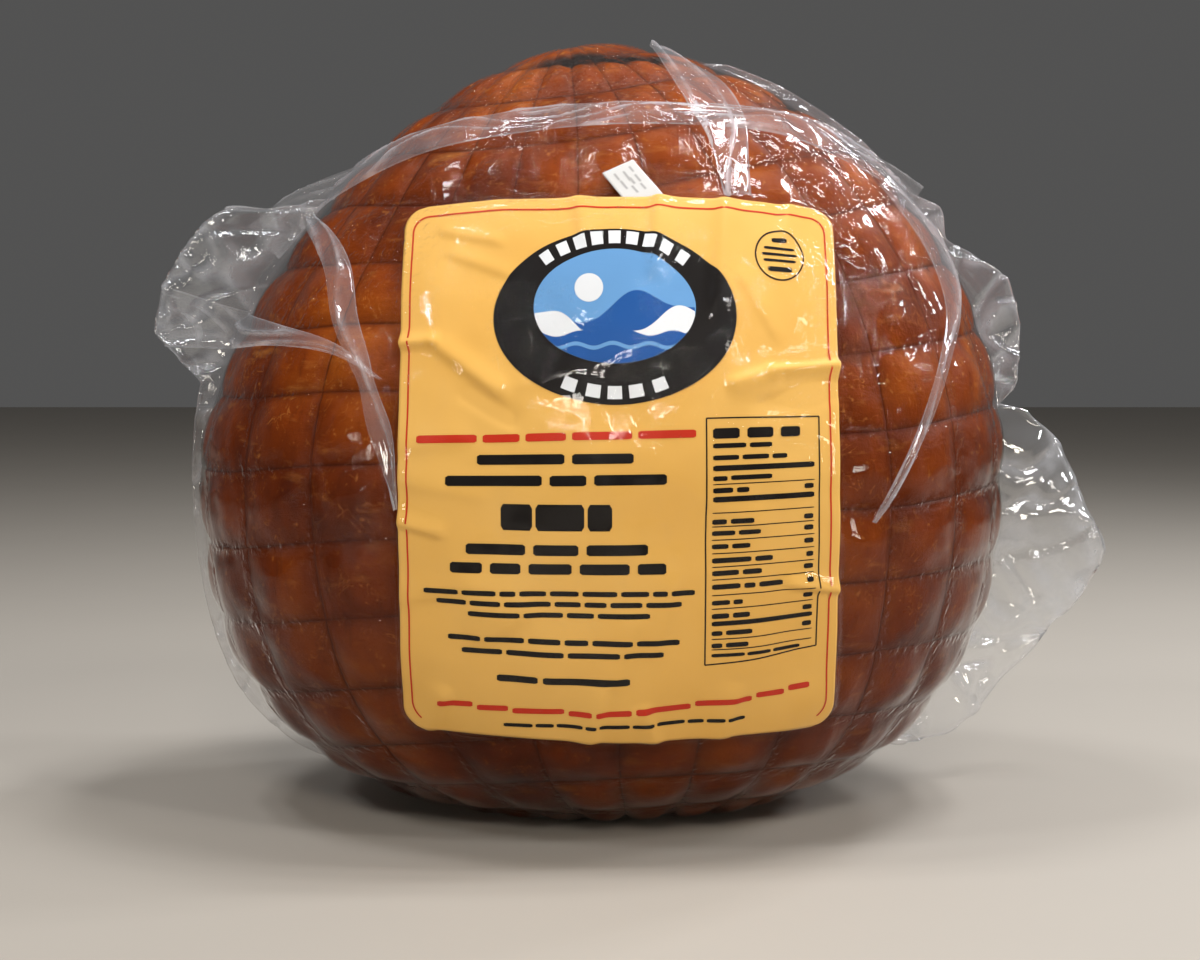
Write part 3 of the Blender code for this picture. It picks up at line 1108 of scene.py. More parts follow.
@dataclass
class Print:
    """What is printed on the label: plain shapes, gathered by ink into one piece each.

    Places and sizes are in millimetres from the label's middle.
    """

    form: LabelForm
    layer: float = 0.05
    step: float = 0.7
    bar_end: float = 0.8
    bar_tip: float = 0.45
    word_lengths: Pair = (0.5, 1.6)
    points: dict = field(default_factory=dict)
    faces: dict = field(default_factory=dict)

    def add(self, ink: Ink, across: Array, up: Array, faces: Array, level: int) -> None:
        """Lay one shape on the paper.

        Args:
            ink: Its colour.
            across: Its points' places to the right.
            up: Its points' places upward.
            faces: Corner numbers.
            level: How many layers of ink lie under it.
        """
        held = self.points.setdefault(ink, [])
        first = sum(len(part) for part in held)
        held.append(self.form.place(across * MM, up * MM, self.layer * MM * (level + 1)))
        self.faces.setdefault(ink, []).append(faces + first)

    def patch(self, ink: Ink, left: float, right: float, low: Array, high: Array, level: int = 1) -> None:
        """Fill between two lines that run from left to right.

        Args:
            ink: The colour.
            left: Where both lines start.
            right: Where both lines end.
            low: Heights along the lower line.
            high: Heights along the upper line.
            level: How many layers of ink lie under it.
        """
        columns = len(low)
        rows = max(2, int(np.max(high - low) / self.step) + 2)
        across, share = np.meshgrid(np.linspace(left, right, columns), np.linspace(0, 1, rows))
        up = low * (1 - share) + high * share
        self.add(ink, across.ravel(), up.ravel(), sheet_faces(rows, columns), level)

    def bar(self, ink: Ink, left: float, right: float, up: float, height: float, slope: float = 0.0) -> None:
        """A bar with softened ends.

        Args:
            ink: Its colour.
            left: Its left end.
            right: Its right end.
            up: Its middle's place upward, at the left end.
            height: Its height.
            slope: How steeply it rises to the right.
        """
        columns = max(4, int((right - left) / self.step) + 3)
        along = np.linspace(left, right, columns)
        middle = up + slope * (along - left)
        end = np.minimum(along - left, right - along)
        half = height / 2 * np.sqrt(np.clip(self.bar_tip + end / min(self.bar_end, 0.5 * height), 0, 1))
        self.patch(ink, left, right, middle - half, middle + half)

    def words(self, ink: Ink, line: WordLine, random: np.random.Generator) -> None:
        """A line of plain bars as long as words.

        Args:
            ink: Their colour.
            line: Their place and sizes.
            random: Gives the words' lengths.
        """
        shares = random.uniform(*self.word_lengths, line.words)
        gap = line.height * line.gap
        room = line.length - gap * (line.words - 1)
        left = line.middle - line.length / 2
        for length in shares / shares.sum() * room:
            middle = left + length / 2 - line.middle
            up = line.up + line.slope * middle + line.sag * (middle / (line.length / 2)) ** 2
            self.bar(ink, left, left + length, up, line.height, line.slope)
            left += length + gap

    def ellipse(self, ink: Ink, middle: Pair, half: Pair, level: int, steps: int) -> None:
        """A filled ellipse.

        Args:
            ink: Its colour.
            middle: Its middle.
            half: Half its width and height.
            level: How many layers of ink lie under it.
            steps: Points round it.
        """
        rings = max(4, int(max(half) / self.step))
        around = np.arange(steps)
        after = 1 + (around + 1) % steps
        out, turn = np.meshgrid(np.linspace(0, 1, rings + 1)[1:], 2 * np.pi * around / steps, indexing="ij")
        across = np.concatenate([[0], (out * np.cos(turn)).ravel()]) * half[0] + middle[0]
        up = np.concatenate([[0], (out * np.sin(turn)).ravel()]) * half[1] + middle[1]
        hub = np.stack([np.zeros(steps, int), 1 + around, after, after], axis=1)
        rest = sheet_faces(rings, steps, first=1, closed=True)[:, ::-1]
        self.add(ink, across, up, np.vstack([hub, rest]), level)

    def ribbon(self, ink: Ink, path: Array, width: float, level: int = 1) -> None:
        """A line of even width.

        Args:
            ink: Its colour.
            path: Points along its middle.
            width: Its width.
            level: How many layers of ink lie under it.
        """
        side = sideways(path)
        shares = np.linspace(0.5, -0.5, int(width / self.step) + 2)
        flat = np.concatenate([path + side * width * share for share in shares])
        self.add(ink, flat[:, 0], flat[:, 1], sheet_faces(len(shares), len(path)), level)

    def arc(self, middle: Pair, half: Pair, start: float, end: float, count: int) -> Array:
        """Points along part of an ellipse, between two angles in degrees."""
        turn = np.radians(np.linspace(start, end, count))
        return np.stack([middle[0] + half[0] * np.cos(turn), middle[1] + half[1] * np.sin(turn)], axis=1)

    def finish(self) -> list[bpy.types.Object]:
        """Turn the gathered shapes into pieces.

        Returns:
            One piece for each ink.
        """
        pieces = []
        for ink, parts in self.points.items():
            name, faces = f"label_ink_{ink.name.lower()}", np.vstack(self.faces[ink])
            pieces.append(new_piece(name, np.vstack(parts), faces, ink.finish().make()))
        return pieces


@dataclass(frozen=True)
class Skyline:
    """An edge in the oval's landscape.

    Attributes:
        level: Its mean height, as a share of the landscape's half height.
        waves: Height, rate and phase of each wave along it.
    """

    level: float
    waves: tuple[Triple, ...]

    def at(self, share: Array) -> Array:
        """Height of the edge.

        Args:
            share: Places from -1 at the left to 1 at the right.

        Returns:
            One height for each place.
        """
        total = np.full(len(share), self.level)
        for height, rate, phase in self.waves:
            total = total + height * np.sin(rate * share + phase)
        return total


@dataclass(frozen=True)
class BlockRow:
    """White blocks along the oval's rim.

    Attributes:
        turns: Where each block stands, in degrees.
        half_turn: Half a block's length in degrees, negative where it runs the other way round.
        rise: How far their ellipse stands above the oval's middle.
        stretch: How much taller their ellipse is.
    """

    turns: tuple[float, ...]
    half_turn: float
    rise: float
    stretch: float


@dataclass(frozen=True)
class LabelDesign:
    """The plain design on the label: borders, an oval with a landscape, word bars and a table of bars."""

    form: LabelForm
    word_seed: int = 4
    table_seed: int = 5
    border_inset: float = 2.4
    border_drop: float = 0.5
    border_width: float = 0.42
    border_corner: float = 4.2
    foot_corner: float = 5.2
    foot_rise: float = 8
    foot_open_at: float = 245
    border_points: int = 60
    corner_points: int = 14
    oval_middle: Pair = (-1.3, 39.0)
    oval_half: Pair = (30.6, 22.0)
    oval_points: int = 220
    scene_middle: Pair = (-1.3, 41.5)
    scene_half: Pair = (20.4, 14.4)
    scene_points: int = 150
    sun_offset: Pair = (-6.5, 4.6)
    sun_half: Pair = (3.6, 3.6)
    sun_points: int = 48
    skyline_reach: float = 0.985
    skyline_points: int = 64
    hills: Skyline = Skyline(-0.10, ((0.30, 2.6, 0.5), (0.10, 7.0, 0.0)))
    snow: Skyline = Skyline(-0.30, ((0.26, 3.4, -1.4), (0.07, 9.0, 1.0)))
    water: Skyline = Skyline(-0.48, ((0.05, 11.0, 0.0),))
    foam: Skyline = Skyline(-0.66, ((0.04, 14.0, 2.0),))
    foam_width: float = 0.07
    block_width: float = 3.2
    block_points: int = 8
    blocks_out: Pair = (0.2, 0.8)
    blocks_above: BlockRow = BlockRow((132, 120.5, 110, 100, 90, 80, 70, 59.5, 48), 3.4, 0.9, 0.0)
    blocks_below: BlockRow = BlockRow((244, 258, 270, 282, 296), -4, 0.4, 0.4)
    stamp_middle: Pair = (41.0, 55.5)
    stamp_half: float = 6.4
    stamp_line: float = 0.42
    stamp_points: int = 72
    stamp_bars: tuple[Triple, ...] = (
        (4.0, 4.0, 1.1), (1.9, 8.2, 0.7), (0.3, 9.4, 0.7), (-1.3, 8.6, 0.7), (-3.6, 6.4, 1.3),
    )
    table_left: float = 21.4
    table_right: float = 50.4
    table_top: float = 13.6
    table_bottom: float = -49.0
    table_rise: Pair = (0.6, 2.6)
    table_line: float = 0.36
    table_line_points: int = 50
    table_margins: Pair = (1.6, 1.3)
    table_slope: float = 0.03
    rule_height: float = 0.26
    long_row: float = 16
    figure_rows: tuple[int, int] = (4, 14)
    figure_row_limit: float = 15
    figure_widths: Pair = (2.6, 2.0)
    figure_height: float = 1.3
    figure_offset: Pair = (0.2, 0.7)
    black_lines: tuple[WordLine, ...] = (
        WordLine(-16.2, 39.0, 3.4, 2.5, 2, 0.012),
        WordLine(-16.0, 55.0, -1.9, 2.6, 3, 0.012),
        WordLine(-15.9, 27.8, -11.0, 6.6, 3, gap=0.13),
        WordLine(-15.8, 45.5, -19.2, 2.7, 3, 0.005),
        WordLine(-15.5, 54.0, -24.0, 2.7, 5, 0.005),
        WordLine(-15.3, 68.0, -30.3, 1.3, 9, 0.008),
        WordLine(-15.4, 61.6, -33.0, 1.3, 7, 0.004),
        WordLine(-15.3, 45.5, -35.8, 1.3, 4, 0.004),
        WordLine(-14.2, 58.4, -42.6, 1.4, 6, -0.006),
        WordLine(-14.5, 51.0, -45.9, 1.4, 4, 0.0),
        WordLine(-14.3, 33.7, -52.9, 1.8, 2, 0.0),
        WordLine(1.2, 61.8, -64.9, 1.0, 10, 0.03, -0.3),
    )
    red_lines: tuple[WordLine, ...] = (
        WordLine(-16.0, 69.6, 8.9, 2.0, 5, 0.022),
        WordLine(1.1, 95.3, -61.4, 1.5, 9, 0.045, 2.6),
    )
    table_rows: tuple[Triple, ...] = (
        (10.0, 2.6, 22.4), (6.8, 1.2, 15.0), (3.9, 1.2, 19.0), (-1.3, 1.2, 15.0), (-4.4, 1.3, 9.2),
        (-12.3, 1.3, 10.4), (-15.2, 1.2, 12.2), (-18.6, 1.2, 9.6), (-22.1, 1.3, 15.4), (-25.3, 1.3, 12.6),
        (-28.7, 1.3, 18.0), (-32.9, 1.2, 7.8), (-36.3, 1.3, 9.6), (-40.7, 1.2, 10.2), (-43.9, 1.2, 9.2),
        (-46.3, 0.9, 23.0),
    )
    table_rules: tuple[float, ...] = (
        -2.9, -10.1, -13.6, -17.0, -20.4, -23.8, -27.0, -31.0, -34.5, -42.3, -45.0,
    )
    table_bands: tuple[Pair, ...] = ((1.1, 1.4), (-6.7, 1.4), (-38.3, 1.2))

    def border(self, sheet: Print) -> None:
        """A fine line inside the edge, open at the foot.

        Args:
            sheet: What it is printed on.
        """
        half_width, half_height = self.form.half_width / MM, self.form.half_height / MM
        side, corner = half_width - self.border_inset, self.border_corner
        top, foot_up = half_height - self.border_inset - self.border_drop, -half_height + self.foot_rise
        straight, bend = self.border_points, self.corner_points
        left = np.stack([np.full(straight, -side), np.linspace(foot_up, top - corner, straight)], axis=1)
        first = sheet.arc((-side + corner, top - corner), (corner, corner), 180, 90, bend)
        across = np.linspace(-side + corner, side - corner, straight)
        across = np.stack([across, np.full(straight, top)], axis=1)
        second = sheet.arc((side - corner, top - corner), (corner, corner), 90, 0, bend)
        foot = sheet.arc((-side + corner, foot_up), (corner, self.foot_corner), self.foot_open_at, 180, bend)
        right, other_foot = left[::-1] * (-1, 1), foot[::-1] * (-1, 1)
        path = np.vstack([foot[:-1], left[:-1], first[:-1], across[:-1], second[:-1], right, other_foot[1:]])
        sheet.ribbon(Ink.RED, path, self.border_width)

    def landscape(self, sheet: Print) -> None:
        """Sun, hills, snow and water in the oval.

        Args:
            sheet: What they are printed on.
        """
        middle, half = self.scene_middle, self.scene_half
        sheet.ellipse(Ink.SKY, middle, half, 2, self.scene_points)
        sun = middle[0] + self.sun_offset[0], middle[1] + self.sun_offset[1]
        sheet.ellipse(Ink.WHITE, sun, self.sun_half, 3, self.sun_points)
        share = np.linspace(-self.skyline_reach, self.skyline_reach, self.skyline_points)
        rim = half[1] * np.sqrt(1 - share**2)
        left, right = middle[0] + share[0] * half[0], middle[0] + share[-1] * half[0]
        floor = middle[1] - rim
        bands = ((Ink.BLUE, self.hills), (Ink.WHITE, self.snow), (Ink.BLUE, self.water), (Ink.SKY, self.foam))
        for level, (ink, edge) in enumerate(bands, start=3):
            top = edge.at(share)
            high = np.clip(middle[1] + half[1] * top, floor, middle[1] + rim)
            low = floor
            if edge is self.foam:
                low = np.clip(middle[1] + half[1] * (top - self.foam_width), floor, middle[1] + rim)
            sheet.patch(ink, left, right, low, np.maximum(high, low), level)

    def oval(self, sheet: Print) -> None:
        """A dark oval with a plain landscape, and white blocks round it.

        Args:
            sheet: What it is printed on.
        """
        sheet.ellipse(Ink.BLACK, self.oval_middle, self.oval_half, 1, self.oval_points)
        self.landscape(sheet)
        wide = (self.oval_half[0] + self.scene_half[0]) / 2 + self.blocks_out[0]
        high = (self.oval_half[1] + self.scene_half[1]) / 2 + self.blocks_out[1]
        for row in (self.blocks_above, self.blocks_below):
            middle = (self.oval_middle[0], self.oval_middle[1] + row.rise)
            for turn in row.turns:
                start, end = turn + row.half_turn, turn - row.half_turn
                path = sheet.arc(middle, (wide, high + row.stretch), start, end, self.block_points)
                sheet.ribbon(Ink.WHITE, path, self.block_width, 2)

    def stamp(self, sheet: Print) -> None:
        """A round outline with a few short bars.

        Args:
            sheet: What it is printed on.
        """
        ring = sheet.arc(self.stamp_middle, (self.stamp_half, self.stamp_half), 0, 360, self.stamp_points)
        sheet.ribbon(Ink.BLACK, ring, self.stamp_line)
        middle, base = self.stamp_middle
        for up, length, height in self.stamp_bars:
            sheet.bar(Ink.BLACK, middle - length / 2, middle + length / 2, base + up, height)

    def table(self, sheet: Print) -> None:
        """A framed table of short bars, thin rules and heavy bands.

        Args:
            sheet: What it is printed on.
        """
        left, right, top, bottom = self.table_left, self.table_right, self.table_top, self.table_bottom
        right_top, right_bottom = top + self.table_rise[0], bottom + self.table_rise[1]
        corners = ((left, top), (right, right_top), (right, right_bottom), (left, bottom), (left, top))
        for start, end in zip(corners, corners[1:]):
            sheet.ribbon(Ink.BLACK, np.linspace(start, end, self.table_line_points), self.table_line)
        inner_left, inner_right = left + self.table_margins[0], right - self.table_margins[1]
        slope = self.table_slope
        for up, height in self.table_bands + tuple((up, self.rule_height) for up in self.table_rules):
            sheet.bar(Ink.BLACK, inner_left, inner_right, up, height, slope)
        random = np.random.default_rng(self.table_seed)
        for up, height, length in self.table_rows:
            words = 3 if length > self.long_row else 2
            line = WordLine(inner_left + length / 2, length, up, height, words, slope)
            sheet.words(Ink.BLACK, line, random)
        aside, above = self.figure_offset
        for up, _, length in self.table_rows[slice(*self.figure_rows)]:
            width = self.figure_widths[length >= self.figure_row_limit]
            right = inner_right - aside
            sheet.bar(Ink.BLACK, inner_right - width, right, up + above, self.figure_height, slope)

    def build(self) -> list[bpy.types.Object]:
        """Print the whole design.

        Returns:
            One piece for each ink.
        """
        sheet = Print(self.form)
        random = np.random.default_rng(self.word_seed)
        self.border(sheet)
        self.oval(sheet)
        self.stamp(sheet)
        for ink, lines in ((Ink.BLACK, self.black_lines), (Ink.RED, self.red_lines)):
            for line in lines:
                sheet.words(ink, line, random)
        self.table(sheet)
        return sheet.finish()


@dataclass(frozen=True)
class DateSticker:
    """The small white sticker, turned on the skin and tucked under the label."""

    ham: HamForm
    centre_x: float = 0.011
    centre_z: float = 0.1725
    width: float = 0.0095
    length: float = 0.024
    turn: float = math.radians(32.0)
    lean: float = 0.78
    lift: float = 0.0007
    thickness: float = 0.0003
    crumple: Grain = Grain(41, 0.005)
    crumple_height: float = 0.0003
    columns: int = 20
    rows: int = 50
    paper: CoatedPaper = CoatedPaper("sticker_paper", (0.58, 0.57, 0.55), (0.50, 0.49, 0.48), 0.55)
    mark_half: float = 0.035
    mark_points: int = 6
    mark_lift: float = 0.00006
    marks: tuple[Triple, ...] = (
        (-0.24, 0.42, 0.30), (0.02, 0.40, 0.44), (0.26, 0.43, 0.26), (-0.22, 0.30, 0.40),
        (0.06, 0.29, 0.30), (0.24, 0.30, 0.34), (-0.05, 0.18, 0.36), (0.20, 0.16, 0.30),
    )

    def place(self, wide: Array, tall: Array, lift: float) -> Array:
        """Points on the sticker.

        Args:
            wide: Places across it, as shares of its width.
            tall: Places up it, as shares of its length.
            lift: How far to raise each point off its face.

        Returns:
            The points.
        """
        wide, tall = wide.ravel() * self.width, -tall.ravel() * self.length
        x = self.centre_x + wide * math.cos(self.turn) + tall * math.sin(self.turn)
        rise = wide * math.sin(self.turn) - tall * math.cos(self.turn)
        flat = np.stack([wide, np.zeros_like(wide), tall], axis=1)
        crumple = self.crumple_height * (self.crumple.at(flat) - 0.5)
        return self.ham.front(x, self.centre_z + self.lean * rise, self.lift + lift + crumple)

    def build(self) -> list[bpy.types.Object]:
        """Build the sticker and its faint marks.

        Returns:
            The paper and the marks.
        """
        wide, tall = np.meshgrid(np.linspace(-0.5, 0.5, self.columns), np.linspace(-0.5, 0.5, self.rows))
        points = np.vstack([self.place(wide, tall, 0.0), self.place(wide, tall, -self.thickness)])
        faces = slab_faces(self.rows, self.columns)
        paper = new_piece("sticker_paper", points, faces, self.paper.make())
        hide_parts("date_sticker")
        points, faces = [], []
        for middle, high, length in self.marks:
            across = np.array([-self.mark_half, self.mark_half]) + middle
            wide, tall = np.meshgrid(across, np.linspace(0, -length / 3, self.mark_points) + high)
            faces.append(sheet_faces(self.mark_points, 2, first=sum(len(part) for part in points)))
            points.append(self.place(wide, tall, self.mark_lift))
        ink = Ink.GREY.finish().make()
        return [paper, new_piece("sticker_marks", np.vstack(points), np.vstack(faces), ink)]


def slant(along: float, aside: float) -> Array:
    """A turn in the plane of unrolled film, by its two direction shares."""
    return np.array([(along, -aside, 0), (aside, along, 0), (0, 0, 1)])


@dataclass(frozen=True)
class ClingFilm:
    """The film that clings to the ham and is drawn tight over the label."""

    ham: HamForm
    marks: NetMarks
    label: LabelForm
    columns: int = 432
    rows: int = 221
    gap: float = 0.0003
    bridge: float = 0.62
    stretch_lift: float = 0.001
    wrinkle: float = 0.0006
    long_folds: Grain = Grain(51, (0.012, 0.050, 1.0), 0.22)
    short_folds: Grain = Grain(52, (0.009, 0.022, 1.0), 0.25)
    short_share: float = 0.5
    fold_lean: Pair = (0.94, 0.34)
    slice_at: float = 0.01
    patches: Grain = Grain(53, 0.05)
    patch_from: float = 0.42
    patch_rise: float = 0.25
    label_gap: float = 0.00045
    label_edge: float = 0.0035
    label_calm: float = 0.45

    def over_label(self, places: Array) -> tuple[Array, Array]:
        """How the label carries the film.

        Args:
            places: Points on the skin, one row each.

        Returns:
            How far each place is over the label, from 0 to 1, and the film's lift there.
        """
        across, up = self.label.find(places)
        inside = self.label.edge_distance(across, up)
        cover = ease((inside + self.label_edge) / self.label_edge) * (places[:, 1] < 0)
        return cover, self.label.face_lift + self.label.rise(across, up) + self.label_gap

    def wrinkles(self, ball: NetBall, smooth: Array) -> Array:
        """Fine folds drawn into the film.

        Args:
            ball: The film's lattice.
            smooth: The skin's points along it.

        Returns:
            One height for each point.
        """
        turn = np.arctan2(ball.direction[:, 1], ball.direction[:, 0]) * self.ham.half_width
        unrolled = np.stack([turn, smooth[:, 2], np.full(len(turn), self.slice_at)], axis=1)
        lean = slant(*self.fold_lean)
        folds = self.long_folds.folds(unrolled @ lean)
        folds = folds + self.short_share * self.short_folds.folds(unrolled @ lean.T)
        patches = ease((self.patches.at(smooth) - self.patch_from) / self.patch_rise)
        return self.wrinkle * folds * patches

    def build(self) -> bpy.types.Object:
        """Build the clinging film.

        Returns:
            The piece.
        """
        ham, marks = self.ham, self.marks
        ball = ham.lattice(self.columns, self.rows)
        smooth = ham.skin(ball.direction, self.stretch_lift)
        lift = self.gap + marks.uneven(ball) - marks.depth * self.bridge * marks.pillow(ball)
        cover, label_lift = self.over_label(smooth)
        wrinkles = self.wrinkles(ball, smooth) * (1 - self.label_calm * cover) * marks.faded(ball)
        lift = np.maximum(lift, lift * (1 - cover) + label_lift * cover) + wrinkles
        places = ham.skin(ball.direction, lift)
        places[:, 2] = np.maximum(places[:, 2], 0.0)
        values = {
            "crease": np.clip(wrinkles / self.wrinkle, 0, 1),
            "groove": marks.line(ball) * (1 - cover),
        }
        finish = ClearFilm(FilmWeight.CLINGING).make()
        piece = new_piece("bag_film", places, ball.faces, finish, values)
        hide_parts("bagged_ham")
        return piece


@dataclass(frozen=True)
class SlackFin:
    """Slack film that stands off the ham's outline: two layers that meet at the free edge.

    Attributes:
        name: The piece's name.
        reach: Angles round the outline in degrees, and how far the film stands off there.
        depth: How far behind the outline's plane the film leaves the ham.
        drift: How far back its widest part leans.
        waves: How often it ripples along its length.
        seed: Its own creases.
    """

    name: str
    reach: Knots
    depth: float
    drift: float
    waves: float
    seed: int
    columns: int = 260
    rows: int = 30
    row_crowding: float = 1.2
    root: float = 0.0006
    ragged: float = 0.05
    ragged_size: float = 0.08
    ripple: float = 0.16
    ripple_lag: float = 3.0
    mean_radius: float = 0.13
    fold_lean: Pair = (0.80, -0.60)
    ridge_size: Triple = (0.006, 0.028, 1.0)
    valley_size: Triple = (0.008, 0.030, 1.0)
    fold_sharp: float = 0.35
    crumple: float = 0.0030
    layer_crumple: float = 0.35
    layer_size: Triple = (0.005, 0.012, 1.0)
    loose_from: float = 0.012
    loose_rise: float = 2.5
    mouth: float = 0.0035
    mouth_reach: float = 0.0035
    puff: float = 0.0012
    puff_size: float = 0.010
    closing: float = 6
    edge_width: float = 0.05
    floor_gap: float = 0.0002

    def extent(self, angle: Array) -> Array:
        """How far the film stands off the ham.

        Args:
            angle: Angles round the outline, in degrees.

        Returns:
            One distance for each angle.
        """
        angles = np.array([a for a, _ in self.reach], dtype=float)
        values = np.array([r for _, r in self.reach])
        index = np.clip(np.searchsorted(angles, angle, side="right") - 1, 0, len(angles) - 2)
        part = np.clip((angle - angles[index]) / (angles[index + 1] - angles[index]), 0, 1)
        blend = 0.5 * part + 0.5 * (1 - np.cos(np.pi * part)) / 2
        return values[index] * (1 - blend) + values[index + 1] * blend

    def layer(self, ham: HamForm, side: float) -> tuple[Array, Array]:
        """One layer of the film.

        Args:
            ham: The body that it stands off.
            side: The layer in front for -1, or behind for 1.

        Returns:
            The layer's points, and how creased it is at each, from 0 to 1.
        """
        steps_out = np.linspace(0, 1, self.rows) ** self.row_crowding
        share, out = (grid.ravel() for grid in np.meshgrid(np.linspace(0, 1, self.columns), steps_out))
        start, end = self.reach[0][0], self.reach[-1][0]
        angle = start + (end - start) * share
        turn = np.radians(angle)
        off_plane = math.asin(self.depth / ham.half_width)
        direction = np.stack([
            np.cos(turn) * math.cos(off_plane),
            np.full(len(turn), math.sin(off_plane)),
            np.sin(turn) * math.cos(off_plane),
        ], axis=1)
        extent = np.maximum(self.extent(angle), 0)
        outward = np.stack([np.cos(turn), np.zeros(len(turn)), np.sin(turn)], axis=1)
        # The free edge, a little ragged, with slow ripples along the film.
        ragged = 1 + self.ragged * (Grain(self.seed, self.ragged_size).at(outward) - 0.5)
        places = ham.skin(direction, 0.0) + outward * (out * extent * ragged + (1 - out) * self.root)[:, None]
        ripple = self.ripple * extent * np.sin(2 * np.pi * self.waves * share + self.ripple_lag * out)
        places[:, 1] += out * (self.drift * extent / max(r for _, r in self.reach) + ripple)
        # Creases, the open mouth at the root, and the layer's own crumples.
        along = share * math.radians(abs(end - start)) * self.mean_radius
        run = np.stack([along, out * extent, np.zeros(len(share))], axis=1)
        lean = slant(*self.fold_lean)
        folds = Grain(self.seed + 1, self.ridge_size, self.fold_sharp).folds(run @ lean)
        folds -= Grain(self.seed + 2, self.valley_size, self.fold_sharp).folds(run @ lean.T)
        loose = ease(extent / self.loose_from) * ease(out * self.loose_rise)
        puff = self.mouth * np.exp(-out * extent / self.mouth_reach)
        puff = puff + self.puff * Grain(self.seed + 3, self.puff_size).at(run) * loose
        own = Grain(self.seed + 4 + int(side), self.layer_size).at(run) - 0.5
        own = self.crumple * self.layer_crumple * own * loose
        places[:, 1] += self.crumple * loose * folds + (side * puff + own) * ease((1 - out) * self.closing)
        places[:, 2] = np.maximum(places[:, 2], self.floor_gap)
        edge = np.exp(-((1 - out) / self.edge_width) ** 2)
        return places, np.clip(np.abs(folds) + edge, 0, 1)

    def build(self, ham: HamForm, material: bpy.types.Material) -> bpy.types.Object:
        """Build both layers as one piece, joined along the free edge.

        Args:
            ham: The body that it stands off.
            material: Its film.

        Returns:
            The piece.
        """
        (front, crease), (back, _) = self.layer(ham, -1.0), self.layer(ham, 1.0)
        faces = sheet_faces(self.rows, self.columns)
        count = len(front)
        edge = np.arange(count - self.columns, count)
        back_only = back[: count - self.columns]
        remap = np.concatenate([np.arange(count - self.columns) + count, edge])
        faces = np.vstack([faces[:, ::-1], remap[faces]])
        marks = {"crease": np.concatenate([crease, crease[: len(back_only)]])}
        piece = new_piece(self.name, np.vstack([front, back_only]), faces, material, marks)
        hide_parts("bagged_ham")
        return piece


@dataclass(frozen=True)
class Pleat:
    """A band of folded film that lies over the front, with pleats along it.

    Attributes:
        name: The piece's name.
        path: Places to the right and heights along its middle.
        widths: Its widths, spread evenly along it.
        seed: Its own pleats.
        pleats: How many pleats lie side by side.
        height: How high they stand.
    """

    name: str
    path: Knots
    widths: Sequence[float]
    seed: int
    pleats: float = 3.0
    height: float = 0.0010
    lift: float = 0.0008
    columns: int = 260
    rows: int = 22
    strand_width: float = 0.01
    sway: float = 0.30
    sway_size: float = 0.020
    crossing: float = 1.4
    crossing_size: Triple = (0.030, 0.02, 1.0)
    ridge_power: float = 1.5
    uneven_size: Triple = (0.012, 0.004, 1.0)
    hem_from: float = 0.93
    hem_crease: float = 0.8
    skin_lift: float = 0.001
    clearance: float = 0.0002

    def build(self, ham: HamForm, material: bpy.types.Material, under: ClingFilm) -> bpy.types.Object:
        """Build the band.

        Args:
            ham: The body that it lies on.
            material: Its film.
            under: The clinging film that it has to clear.

        Returns:
            The piece.
        """
        path = smooth_path(self.path, self.columns)
        width = smooth_path([(w,) for w in self.widths], self.columns)[:, 0]
        share, step = np.meshgrid(np.linspace(-1, 1, self.rows), np.arange(self.columns), indexing="ij")
        share, step = share.ravel(), step.ravel()
        along = np.concatenate([[0], np.cumsum(np.linalg.norm(np.diff(path, axis=0), axis=1))])[step]
        strand = np.stack([along, share * self.strand_width, np.zeros(len(share))], axis=1)
        sway = self.sway * (Grain(self.seed, self.sway_size).at(strand * (1, 0, 0)) - 0.5)
        aside = (share + sway * (1 - share**2)) * width[step] / 2
        x, z = (path[step] + sideways(path)[step] * aside[:, None]).T
        phase = self.crossing * Grain(self.seed + 1, self.crossing_size).at(strand)
        ridges = (1 - np.abs(np.sin(np.pi * self.pleats * (share / 2 + phase)))) ** self.ridge_power
        body = np.sqrt(np.clip(1 - share**2, 0, 1))
        uneven = 0.5 + Grain(self.seed + 2, self.uneven_size).at(strand)
        lift = self.lift * body + self.height * ridges * body * uneven
        crease = np.clip(ridges * uneven + self.hem_crease * (np.abs(share) > self.hem_from), 0, 1)
        cover, label_lift = under.over_label(ham.front(x, z, self.skin_lift))
        lift = lift + under.gap + self.clearance + cover * (label_lift - under.gap)
        places = ham.front(x, z, lift)
        piece = new_piece(
            self.name, places, sheet_faces(self.rows, self.columns), material, {"crease": crease}
        )
        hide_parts("bagged_ham")
        return piece


